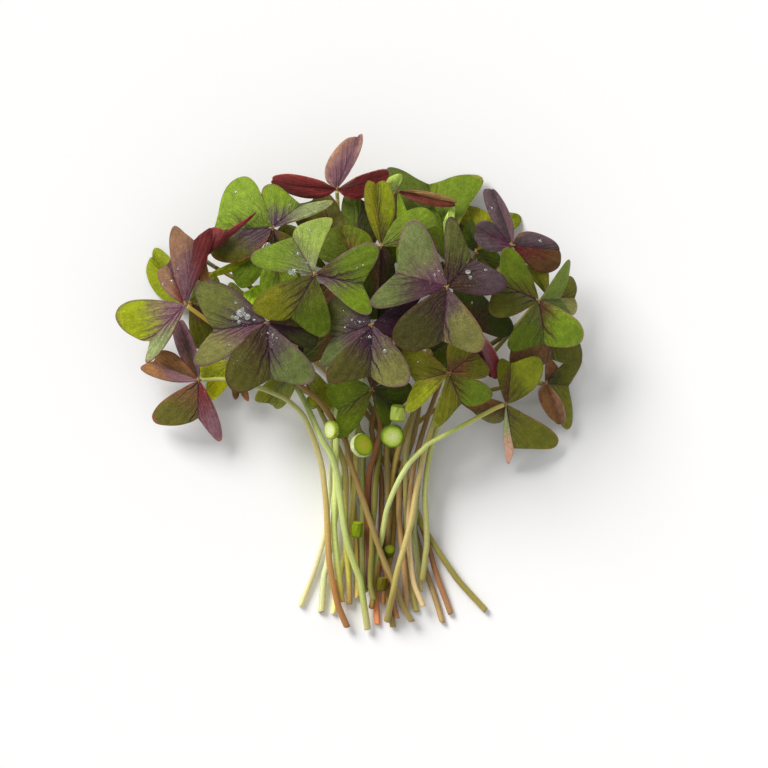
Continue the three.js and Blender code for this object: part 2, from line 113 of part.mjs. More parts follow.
  ["stem_23", "stem_tan", [[2.82, -86.11, 1.42, 1.15], [2.74, -72.17, 1.77, 1.13], [1.84, -54.07, 1.94, 1.12], [1.3, -45.73, 2.45, 1.11], [0.44, -30.53, 4.98, 1.09], [-1.78, -15.69, 8.67, 1.07], [-4.97, -3.83, 11.43, 1.04], [-12.16, 15.43, 15.48, 0.98], [-15.71, 24.37, 16.85, 0.95], [-19.95, 34.57, 17.72, 0.92], [-24.94, 45.97, 20.01, 0.88], [-26.64, 49.7, 21.02, 0.87], [-27.86, 51.97, 22.16, 0.86], [-29.01, 53.5, 24.25, 0.85], [-29.23, 53.98, 25.52, 0.85]]],
  ["stem_24", "stem_green", [[-3.27, -87.71, 2.78, 1.35], [-3.82, -83.68, 3.81, 1.34], [-5.78, -65.96, 6.96, 1.32], [-6.48, -56.34, 8.43, 1.31], [-5.73, -43.97, 10.65, 1.29], [-5.78, -32.98, 12.99, 1.27], [-5.52, -24.87, 15.2, 1.26], [-5.35, -20.77, 15.47, 1.26], [-5.05, -11.16, 15.11, 1.2], [-4.78, -7.04, 15.55, 1.18], [-3.91, 2.59, 17.54, 1.12], [-3.34, 8.11, 18.05, 1.09], [-0.17, 36.96, 18, 0.92], [0.63, 43.68, 24.52, 0.87], [0.92, 45.93, 28.01, 0.86], [1.06, 46.97, 28.92, 0.85]]],
  ["stem_25", "stem_red", [[29.46, -89.51, 4.44, 1.15], [25.7, -80.61, 6.02, 1.14], [23.9, -68.3, 8.12, 1.13], [23.51, -52.95, 9.58, 1.11], [24.26, -43.21, 10.52, 1.1], [24.92, -37.63, 10.64, 1.09], [26.82, -28.03, 10.19, 1.08], [31.24, -13.29, 9.4, 1.06], [37.43, 3.8, 8.96, 1], [42.01, 17.04, 9.57, 0.96], [48.11, 42.93, 9.27, 0.88], [49.4, 48.32, 9.95, 0.87], [49.71, 49.52, 10.59, 0.86], [50.21, 51.46, 12.51, 0.85], [50.27, 51.67, 13.88, 0.85]]],
  ["stem_26", "stem_green", [[28.84, -79.31, 5.23, 1.3], [30.69, -62.88, 7.42, 1.27], [30.03, -46.48, 10.48, 1.24], [30.46, -38.3, 12.12, 1.23], [31.54, -30.23, 13.99, 1.22], [34.56, -18.45, 17, 1.15], [38.43, -6.86, 19.86, 1.07], [45.6, 15.24, 24.43, 0.91], [47.17, 18.86, 25.79, 0.89], [48.18, 21.07, 27.14, 0.87], [48.56, 22.03, 29.64, 0.85]]],
];

// ---- plump green buds among the stems: centre, radius, half length, axis ----
const BUDS = [
  ["bud_1", [-7.38, -18.91, 27.34], 3.92, 1.36, [-0.75, -0.05, 0.65]],
  ["bud_2", [4.66, -25.11, 25.34], 5.04, 1.68, [0.55, 0.22, 0.8]],
  ["bud_3", [16.94, -21.31, 25.84], 4.88, 2.24, [0.05, -0.2, 1]],
  ["bud_4", [19.22, -12.11, 29.84], 3.2, 3.72, [0.12, 1, 0.15]],
  ["bud_5", [-14.78, -7.51, 24.04], 2.96, 2.4, [0.3, 0.3, 1]],
  ["bud_6", [2.82, -58.75, 10.85], 2.4, 3.4, [0.1, 1, 0.25]],
  ["bud_7", [15.62, -67.51, 7.34], 2.4, 2.6, [0.2, 0.5, 1]],
  ["bud_8", [12.82, -80.51, 7.84], 2.2, 3, [0.1, 1, 0.2]],
];

const COLOURS = {
  leaf_green: 0x547721,
  leaf_olive: 0x60603f,
  leaf_purple: 0x493842,
  leaf_brown: 0x663f26,
  leaf_maroon: 0x602626,
  stem_green: 0xa8b266,
  stem_tan: 0x997247,
  stem_red: 0x6b3828,
  bud_green: 0x729e1e,
};

const wasm = await Module();
wasm.setup();

const V = (a) => new THREE.Vector3(a[0], a[1], a[2]);

// closed solid from flat lists of points and triangles
function solid(points, tris) {
  const mesh = new wasm.Mesh({
    numProp: 3,
    vertProperties: new Float32Array(points.flatMap((p) => [p.x, p.y, p.z])),
    triVerts: new Uint32Array(tris.flat()),
  });
  mesh.merge();
  const m = new wasm.Manifold(mesh);
  if (m.volume() < 0) throw new Error("inside out");
  return m;
}

// one leaflet: two halves that meet in the midrib, with an even thickness
function leaflet(H, N, A, B, kind) {
  const e1 = N.clone().sub(H);
  const side = (P, k) => P.clone().sub(H).addScaledVector(e1, -LOBE[k]);
  const ka = kind[0], kb = kind[kind.length - 1];
  const a = side(A, ka), b = side(B, kb);
  const na = e1.clone().cross(a).normalize(), nb = b.clone().cross(e1).normalize();
  let nc = na.clone().add(nb);
  if (nc.length() < 0.3) nc = new THREE.Vector3(0, 0, na.z >= 0 ? 1 : -1);
  const sign = nc.z >= 0 ? 1 : -1;
  na.multiplyScalar(sign); nb.multiplyScalar(sign); nc.normalize().multiplyScalar(sign);
  const len = e1.length();
  const at = (s, t, e2) => {
    const c = Math.min(Math.max(s, 0), 1.1);
    return H.clone().addScaledVector(e1, s).addScaledVector(e2, t)
      .addScaledVector(nc, ARCH * len * 4 * c * (1.1 - c) / 1.21);
  };
  const n = MID.length - 1;
  const spine = MID.map((s) => at(s, 0, a));
  const edgeA = HALF[ka].map(([s, t]) => at(s, t, a)), edgeB = HALF[kb].map(([s, t]) => at(s, t, b));
  // thickness directions: each half's own, and the mean along the midrib
  const pts = [], dir = [];
  const put = (p, d) => { pts.push(p); dir.push(d); return pts.length - 1; };
  const ms = spine.map((p) => put(p, nc));
  const ea = edgeA.map((p, i) => (i === 0 ? ms[0] : i === n ? ms[n] : put(p, na)));
  const eb = edgeB.map((p, i) => (i === 0 ? ms[0] : i === n ? ms[n] : put(p, nb)));
  const top = [];
  const strip = (edge, flip) => {
    for (let i = 0; i < n; i++) {
      const q = [ms[i], ms[i + 1], edge[i + 1], edge[i]];
      for (const t of [[q[0], q[1], q[2]], [q[0], q[2], q[3]]]) {
        if (new Set(t).size === 3) top.push(flip ? [t[0], t[2], t[1]] : t);
      }
    }
  };
  strip(ea, sign < 0);
  strip(eb, sign > 0);
  const count = pts.length;
  const all = pts.map((p, i) => p.clone().addScaledVector(dir[i], BLADE / 2))
    .concat(pts.map((p, i) => p.clone().addScaledVector(dir[i], -BLADE / 2)));
  const tris = top.map((t) => [...t]);
  for (const t of top) tris.push([t[0] + count, t[2] + count, t[1] + count]);
  const loop = ea.slice(0, n).concat([ms[n]], eb.slice(1, n).reverse());
  for (let i = 0; i < loop.length; i++) {
    const p = loop[i], q = loop[(i + 1) % loop.length];
    if (sign < 0) tris.push([p, p + count, q], [q, p + count, q + count]);
    else tris.push([p, q, p + count], [q, q + count, p + count]);
  }
  return [all, tris];
}

function leaf(hub, down, lets) {
  const H = V(hub), d = V(down).normalize();
  // knob: a six-sided barrel from just above the meeting point to just above the stem
  const up = Math.abs(d.z) < 0.9 ? new THREE.Vector3(0, 0, 1) : new THREE.Vector3(1, 0, 0);
  const u = up.clone().cross(d).normalize(), w = d.clone().cross(u);
  const rings = [[-HUB_UP, 0.55 * HUB_R], [0.1, HUB_R], [HUB_DOWN, 0.8 * HUB_R]];
  const p = [], t = [];
  for (const [h, r] of rings) for (let k = 0; k < 6; k++) {
    const c = (k * Math.PI) / 3;
    p.push(H.clone().addScaledVector(d, h).addScaledVector(u, r * Math.cos(c)).addScaledVector(w, r * Math.sin(c)));
  }
  for (let j = 0; j < 2; j++) for (let k = 0; k < 6; k++) {
    const a = j * 6 + k, b = j * 6 + ((k + 1) % 6);
    t.push([a, b, a + 6], [b, b + 6, a + 6]);
  }
  for (let k = 1; k < 5; k++) { t.push([0, k + 1, k]); t.push([12, 12 + k, 12 + k + 1]); }
  let body = solid(p, t);
  for (const [N, A, B, kind, drop = 0] of lets) {
    const base = H.clone().add(new THREE.Vector3(0, 0, drop));
    const [pp, tt] = leaflet(base, V(N), V(A), V(B), kind);
    body = body.add(solid(pp, tt));
  }
  const m = body.getMesh();
  const g = new THREE.BufferGeometry();
  g.setAttribute("position", new THREE.BufferAttribute(new Float32Array(m.vertProperties), 3));
  g.setIndex(Array.from(m.triVerts));
  return g;
}

// a stalk: a closed tube that follows its points, each with its own radius
function stalk(path) {
  const P = path.map(V), n = P.length;
  const tan = P.map((_, i) => P[Math.min(i + 1, n - 1)].clone().sub(P[Math.max(i - 1, 0)]).normalize());
  let u = new THREE.Vector3(0, 0, 1).cross(tan[0]).normalize();
  const pos = [], tri = [];
  for (let i = 0; i < n; i++) {
    u = u.clone().addScaledVector(tan[i], -u.dot(tan[i])).normalize();
    const w = tan[i].clone().cross(u);
    for (let k = 0; k < STEM_SIDES; k++) {
      const c = (2 * Math.PI * k) / STEM_SIDES, r = path[i][3];
      pos.push(P[i].clone().addScaledVector(u, r * Math.cos(c)).addScaledVector(w, r * Math.sin(c)));
    }
  }
  const S = STEM_SIDES;
  for (let i = 0; i < n - 1; i++) for (let k = 0; k < S; k++) {
    const a = i * S + k, b = i * S + ((k + 1) % S);
    tri.push([a, b, a + S], [b, b + S, a + S]);
  }
  const e = (n - 1) * S;
  for (let k = 1; k < S - 1; k++) { tri.push([0, k + 1, k]); tri.push([e, e + k, e + k + 1]); }
  const g = new THREE.BufferGeometry();
  g.setAttribute("position", new THREE.BufferAttribute(new Float32Array(pos.flatMap((p) => [p.x, p.y, p.z])), 3));
  g.setIndex(tri.flat());
  return g;
}

// a bud: a short barrel with rounded shoulders
function bud(centre, r, half, axis) {
  const profile = [[0, -half], [0.62 * r, -0.93 * half], [0.95 * r, -0.5 * half], [r, 0], [0.95 * r, 0.5 * half], [0.62 * r, 0.93 * half], [0, half]];
  const g = new THREE.LatheGeometry(profile.map(([x, y]) => new THREE.Vector2(x, y)), 10);
  const q = new THREE.Quaternion().setFromUnitVectors(new THREE.Vector3(0, 1, 0), V(axis).normalize());
  g.applyQuaternion(q);
  g.translate(centre[0], centre[1], centre[2]);
  return g;
}

const group = new THREE.Group();
group.name = "oxalis_bunch";
const add = (name, geometry, slot, roughness) => {
  geometry.computeVertexNormals();
  const mesh = new THREE.Mesh(geometry, new THREE.MeshStandardMaterial({ color: COLOURS[slot], roughness, metalness: 0 }));
  mesh.name = name;
  group.add(mesh);
};
for (const [name, slot, hub, down, lets] of LEAVES) add(name, leaf(hub, down, lets), slot, 0.6);
for (const [name, slot, path] of STEMS) add(name, stalk(path), slot, 0.5);
for (const [name, centre, r, half, axis] of BUDS) add(name, bud(centre, r, half, axis), "bud_green", 0.4);

export default group;
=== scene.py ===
"""Looks of a cut bunch of oxalis that lies on a pale table and is seen from straight above."""
import math

import bpy
import numpy as np
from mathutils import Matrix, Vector
from mathutils.bvhtree import BVHTree


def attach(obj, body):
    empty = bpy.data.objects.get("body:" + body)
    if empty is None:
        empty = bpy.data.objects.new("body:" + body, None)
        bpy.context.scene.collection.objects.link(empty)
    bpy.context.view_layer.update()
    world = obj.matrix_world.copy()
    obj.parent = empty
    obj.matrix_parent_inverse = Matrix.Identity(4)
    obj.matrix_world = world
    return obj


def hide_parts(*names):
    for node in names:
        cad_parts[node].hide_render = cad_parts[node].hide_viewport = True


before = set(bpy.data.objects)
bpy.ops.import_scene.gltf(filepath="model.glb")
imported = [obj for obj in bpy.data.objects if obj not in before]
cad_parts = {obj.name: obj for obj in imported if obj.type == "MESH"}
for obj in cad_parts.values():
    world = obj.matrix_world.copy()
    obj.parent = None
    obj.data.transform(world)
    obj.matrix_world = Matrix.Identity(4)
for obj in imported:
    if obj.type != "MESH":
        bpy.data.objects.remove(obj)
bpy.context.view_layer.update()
MM = 0.001

# ---------------------------------------------------------------- tables, in millimetres
# leaf: knob, direction towards its stalk, then each leaflet's notch, two lobes, outline and drop
LEAVES = [
    ("leaf_01", (-5.18, 77.49, 31.57), (0.007, -0.169, -0.986), [
        ((-30.78, 81.49, 23.48), (-17.58, 83.49, 32.73), (-19.18, 74.89, 22.52), "e", 0),
        ((15.22, 84.29, 24.35), (4.42, 83.89, 33), (5.62, 74.89, 22.95), "e", 0),
        ((2.82, 98.29, 32.76), (-9.58, 87.49, 31.72), (3.82, 92.29, 31.24), "e", 0),
    ]),
    ("leaf_02", (-31.18, 61.89, 32.38), (0.140, -0.328, -0.934), [
        ((-54.38, 60.69, 26.18), (-43.78, 82.49, 20.91), (-47.18, 47.69, 26.78), "hw", 0),
        ((-19.58, 71.09, 30.64), (-33.58, 79.09, 24.86), (-7.98, 70.49, 30.2), "hw", 0),
        ((-25.58, 49.89, 31.27), (-33.58, 49.89, 28.99), (-18.78, 53.89, 29.87), "h", 0),
    ]),
    ("leaf_03", (-65.86, 31.29, 34.03), (0.805, -0.572, -0.154), [
        ((-79.98, 16.69, 26.77), (-92.58, 30.29, 22.12), (-76.98, 10.69, 24.97), "fw", 0),
        ((-62.38, 57.09, 36.75), (-71.98, 59.29, 32.58), (-54.78, 58.69, 34.53), "h", 0),
        ((-72.78, 47.49, 28.21), (-76.38, 40.69, 26.04), (-67.98, 50.29, 28.19), "h", 0),
    ]),
    ("leaf_04", (-60.38, 1.09, 19.84), (0.959, 0.044, -0.280), [
        ((-78.38, 8.69, 15.82), (-79.38, 2.69, 13.2), (-71.58, 12.29, 17.49), "wh", 0),
        ((-67.98, 24.69, 20.14), (-69.98, 15.09, 17.22), (-61.98, 15.09, 18.31), "e", 0),
        ((-60.78, -14.11, 15.15), (-78.98, -13.11, 8.79), (-51.18, -20.51, 8.7), "fw", 0),
    ]),
    ("leaf_05", (-33.18, 24.09, 45.94), (0.171, -0.358, -0.918), [
        ((-54.38, 21.09, 40.08), (-57.18, 40.89, 37.78), (-58.18, 6.69, 34.64), "w", 0),
        ((-31.58, 1.49, 41.62), (-49.98, 2.49, 36.51), (-13.58, 2.29, 41.22), "wh", 0),
        ((-12.78, 21.09, 43.36), (-12.78, 31.49, 42.7), (-16.78, 13.89, 41.31), "h", 0),
    ]),
    ("leaf_06", (-14.14, 43.37, 53.03), (0.008, -0.048, -0.999), [
        ((-22.78, 58.29, 49.9), (-39.58, 49.09, 45.74), (-7.02, 65.65, 48.2), "ht", 0),
        ((5.22, 39.09, 52.66), (9.82, 55.69, 49.11), (6.62, 26.89, 50.52), "h", 0),
        ((-23.58, 25.89, 51.04), (-37.98, 32.69, 46.74), (-8.78, 19.89, 50.33), "fh", 0),
    ]),
    ("leaf_07", (8.62, 23.29, 48.72), (-0.010, -0.247, -0.969), [
        ((-7.18, 17.89, 46.56), (-4.78, 35.09, 46.42), (-10.78, 6.29, 42.33), "wh", 0),
        ((8.42, 2.69, 44.89), (-9.18, 2.29, 41.56), (24.02, 3.49, 42.85), "hf", 0),
        ((24.82, 28.69, 44.75), (28.02, 37.89, 42.63), (25.62, 17.49, 42.58), "hw", 0),
    ]),
    ("leaf_08", (38.82, 38.29, 55.78), (-0.014, -0.310, -0.951), [
        ((18.42, 43.89, 55.74), (25.62, 65.09, 51), (9.22, 30.29, 53.1), "h", 0),
        ((48.82, 49.49, 53.2), (39.62, 65.89, 50), (61.42, 37.29, 49.02), "hw", 0),
        ((36.82, 16.69, 53.66), (16.82, 19.49, 52.85), (54.02, 14.69, 48.63), "fh", 0),
    ]),
    ("leaf_09", (75.54, 32.93, 38.08), (-0.113, -0.089, -0.990), [
        ((58.82, 39.89, 43.83), (64.02, 53.89, 39.46), (57.22, 26.69, 42.64), "h", 0),
        ((83.62, 33.49, 27.2), (87.02, 48.93, 26.25), (87.82, 27.09, 25.3), "eh", 0),
        ((77.62, 15.89, 34.99), (63.22, 14.69, 39.01), (93.42, 20.09, 25.97), "hf", 0),
    ]),
    ("leaf_10", (64.82, 55.09, 37.26), (-0.066, -0.125, -0.990), [
        ((56.62, 77.09, 35.45), (54.62, 68.69, 38.05), (63.02, 68.29, 34), "e", 0),
        ((50.82, 60.29, 39.55), (56.02, 64.29, 36.18), (55.22, 52.69, 39.14), "e", 0),
        ((83.62, 53.09, 27.56), (72.02, 60.69, 32.11), (77.22, 43.89, 24.74), "e", 0),
    ]),
    ("leaf_11", (12.42, 54.69, 47.86), (-0.000, -0.065, -0.998), [
        ((10.42, 79.09, 41.88), (5.62, 72.69, 41.88), (18.02, 71.89, 40.3), "e", 0),
        ((34.02, 62.69, 43.84), (24.02, 69.49, 42.54), (29.62, 56.69, 42.79), "e", 0),
        ((10.82, 25.49, 41.54), (3.62, 38.29, 41.18), (18.42, 37.89, 41.46), "w", 0),
    ]),
    ("leaf_12", (39.62, 3.89, 36.84), (-0.122, -0.570, -0.813), [
        ((26.02, 0.69, 37.04), (23.22, 14.09, 37.98), (23.62, -12.11, 31.85), "wh", 0),
        ((50.02, 12.29, 35.09), (40.82, 16.69, 37.16), (55.22, 3.09, 31.94), "h", 0),
        ((44.42, -8.51, 32.68), (34.02, -16.91, 29.67), (56.82, -3.31, 29.85), "hf", 0),
    ]),
    ("leaf_13", (62.42, -8.51, 22.68), (-0.920, -0.382, 0.088), [
        ((64.42, 7.89, 27.4), (58.82, 7.09, 26.94), (77.42, 5.29, 18.97), "hw", 0),
        ((49.62, -11.71, 14.5), (47.22, -5.31, 14.57), (58.42, -16.51, 7.54), "wh", -1),
        ((65.62, -26.11, 13.46), (83.62, -23.31, 5.12), (62.42, -30.91, 5.64), "h", 0),
    ]),
    ("leaf_14", (78.02, -0.11, 13.82), (-0.669, -0.035, -0.742), [
        ((82.82, 6.69, 9.75), (78.82, 9.49, 9.82), (83.22, 1.89, 8.62), "h", 0),
        ((84.02, -16.51, 9.04), (75.62, -7.31, 13.14), (85.22, -9.31, 9.34), "e", 0),
        ((87.22, -1.31, 6.12), (91.02, 10.69, 1.49), (86.42, -18.51, 2.42), "w", 0),
    ]),
    ("leaf_15", (79.22, 34.29, 24.51), (-0.335, -0.169, -0.927), [
        ((89.62, 33.89, 15.71), (87.42, 42.89, 16.64), (88.02, 26.89, 15.01), "e", 0),
        ((73.62, 45.09, 24.75), (67.22, 48.29, 25.76), (78.02, 48.29, 21.15), "h", 0),
        ((80.42, 9.49, 14.93), (63.62, 9.49, 18.79), (92.82, 10.29, 7.76), "wh", 0),
    ]),
    ("leaf_16", (38.42, 48.29, 22.89), (-0.003, -0.274, -0.962), [
        ((31.62, 79.09, 8.26), (14.02, 82.49, 2.15), (53.42, 81.89, 4.53), "hn", 0),
        ((37.22, 64.29, 21.28), (31.62, 69.49, 17.73), (42.02, 70.29, 17.56), "h", 0),
        ((32.02, 38.69, 18.08), (29.62, 45.09, 15.85), (33.62, 33.09, 17.34), "h", 0),
    ]),
    ("leaf_17", (8.82, -2.71, 29.84), (0.188, -0.515, -0.836), [
        ((-4.78, -10.91, 26.26), (-6.38, 1.09, 27.95), (-1.18, -21.31, 21.56), "w", 0),
        ((18.42, -10.51, 26.29), (23.62, -0.11, 28.27), (13.62, -16.51, 24.24), "wh", 0),
        ((14.42, 14.69, 31.28), (6.02, 13.49, 31), (21.22, 12.29, 30.37), "h", 0),
    ]),
    ("leaf_18", (18.82, 76.69, 20.33), (-0.394, -0.659, -0.641), [
        ((41.62, 71.89, 20.3), (32.82, 76.09, 21.17), (31.22, 71.09, 21.23), "e", 0),
        ((20.82, 83.49, 20.69), (14.02, 79.89, 20.3), (20.02, 79.49, 21.52), "e", 0),
        ((18.42, 48.29, 16.57), (13.22, 60.29, 16.76), (24.02, 59.49, 16.79), "e", 0),
    ]),
    ("leaf_19", (-57.78, 50.29, 31.96), (0.007, -0.213, -0.977), [
        ((-49.58, 60.29, 33.86), (-56.78, 61.09, 29.13), (-37.58, 67.89, 32.07), "h", 0),
        ((-59.98, 41.09, 27.17), (-65.58, 45.09, 25.02), (-55.98, 37.09, 26.28), "h", 0),
    ]),
    ("leaf_20", (-63.98, 31.89, 9.89), (0.532, -0.060, -0.845), [
        ((-78.78, 50.29, 1.92), (-77.78, 36.29, 2.39), (-71.18, 49.49, 4.14), "e", 0),
        ((-54.38, 21.09, 10.33), (-61.58, 13.89, 6.92), (-49.98, 27.09, 11.69), "h", 0),
        ((-51.18, 37.89, 11.04), (-57.18, 44.29, 10.21), (-49.58, 29.89, 11.96), "h", 0),
    ]),
    ("leaf_21", (-45.58, 9.09, 13.85), (0.543, -0.094, -0.835), [
        ((-57.18, 0.69, 7.56), (-59.98, 6.69, 6.87), (-53.18, -6.11, 5.46), "hw", 0),
        ((-43.98, -3.71, 9.8), (-47.18, -4.11, 8.77), (-40.38, -4.91, 9.84), "e", 0),
        ((-42.38, 36.29, 15.98), (-49.58, 36.69, 13.14), (-34.78, 34.69, 16.01), "h", 0),
    ]),
    ("leaf_22", (-19.98, 8.29, 21.84), (0.108, -0.678, -0.727), [
        ((-32.38, -8.11, 15.4), (-37.38, -3.91, 14.22), (-25.38, -8.31, 15.56), "h", 0),
        ((-11.18, -10.91, 17.05), (-14.38, -3.71, 18.23), (-7.18, -2.11, 18.74), "e", 0),
        ((-11.18, 39.49, 20.33), (-18.78, 33.89, 19.53), (-0.38, 23.09, 19.95), "hw", 0),
    ]),
    ("leaf_23", (-29.58, 54.69, 26.85), (0.277, -0.477, -0.834), [
        ((-47.18, 44.29, 23.85), (-56.38, 43.49, 20.18), (-40.78, 38.29, 22.66), "h", 0),
        ((-27.58, 35.89, 26.28), (-35.98, 37.89, 25.78), (-18.78, 36.29, 27.69), "h", 0),
        ((-15.58, 53.49, 22.89), (-23.98, 63.09, 19.46), (-10.78, 45.89, 22.33), "wh", 0),
    ]),
    ("leaf_24", (1.22, 48.29, 29.72), (-0.077, -0.586, -0.807), [
        ((-3.18, 62.69, 27.96), (-14.38, 53.09, 26.04), (9.22, 56.29, 27.35), "we", 0),
        ((4.82, 73.09, 22.06), (-3.18, 72.69, 20.68), (12.02, 61.49, 24.06), "h", 0),
        ((-15.18, 72.69, 21.08), (-21.98, 64.29, 20.81), (-6.78, 74.29, 20.71), "h", 0),
    ]),
    ("leaf_25", (50.42, 52.29, 15.3), (-0.109, -0.434, -0.894), [
        ((46.42, 62.69, 14.9), (41.82, 60.29, 14.88), (49.62, 64.29, 11.72), "wh", 0),
        ((56.42, 67.49, 6.44), (43.62, 69.49, 7.07), (68.42, 64.89, 1.06), "h", 0),
        ((57.62, 45.09, 13.34), (59.02, 52.09, 12.02), (53.62, 38.29, 14.35), "wh", 0),
    ]),
    ("leaf_26", (48.82, 22.69, 31.01), (-0.139, -0.353, -0.925), [
        ((56.42, 2.29, 25.29), (51.22, 11.89, 27.79), (59.02, 10.29, 23.48), "e", 0),
        ((55.22, 32.69, 26.9), (41.62, 39.09, 27.75), (64.82, 19.89, 21.18), "w", 0),
        ((33.22, 12.29, 28.08), (32.02, 20.29, 28.12), (36.02, 4.69, 24.97), "h", 0),
    ]),
]

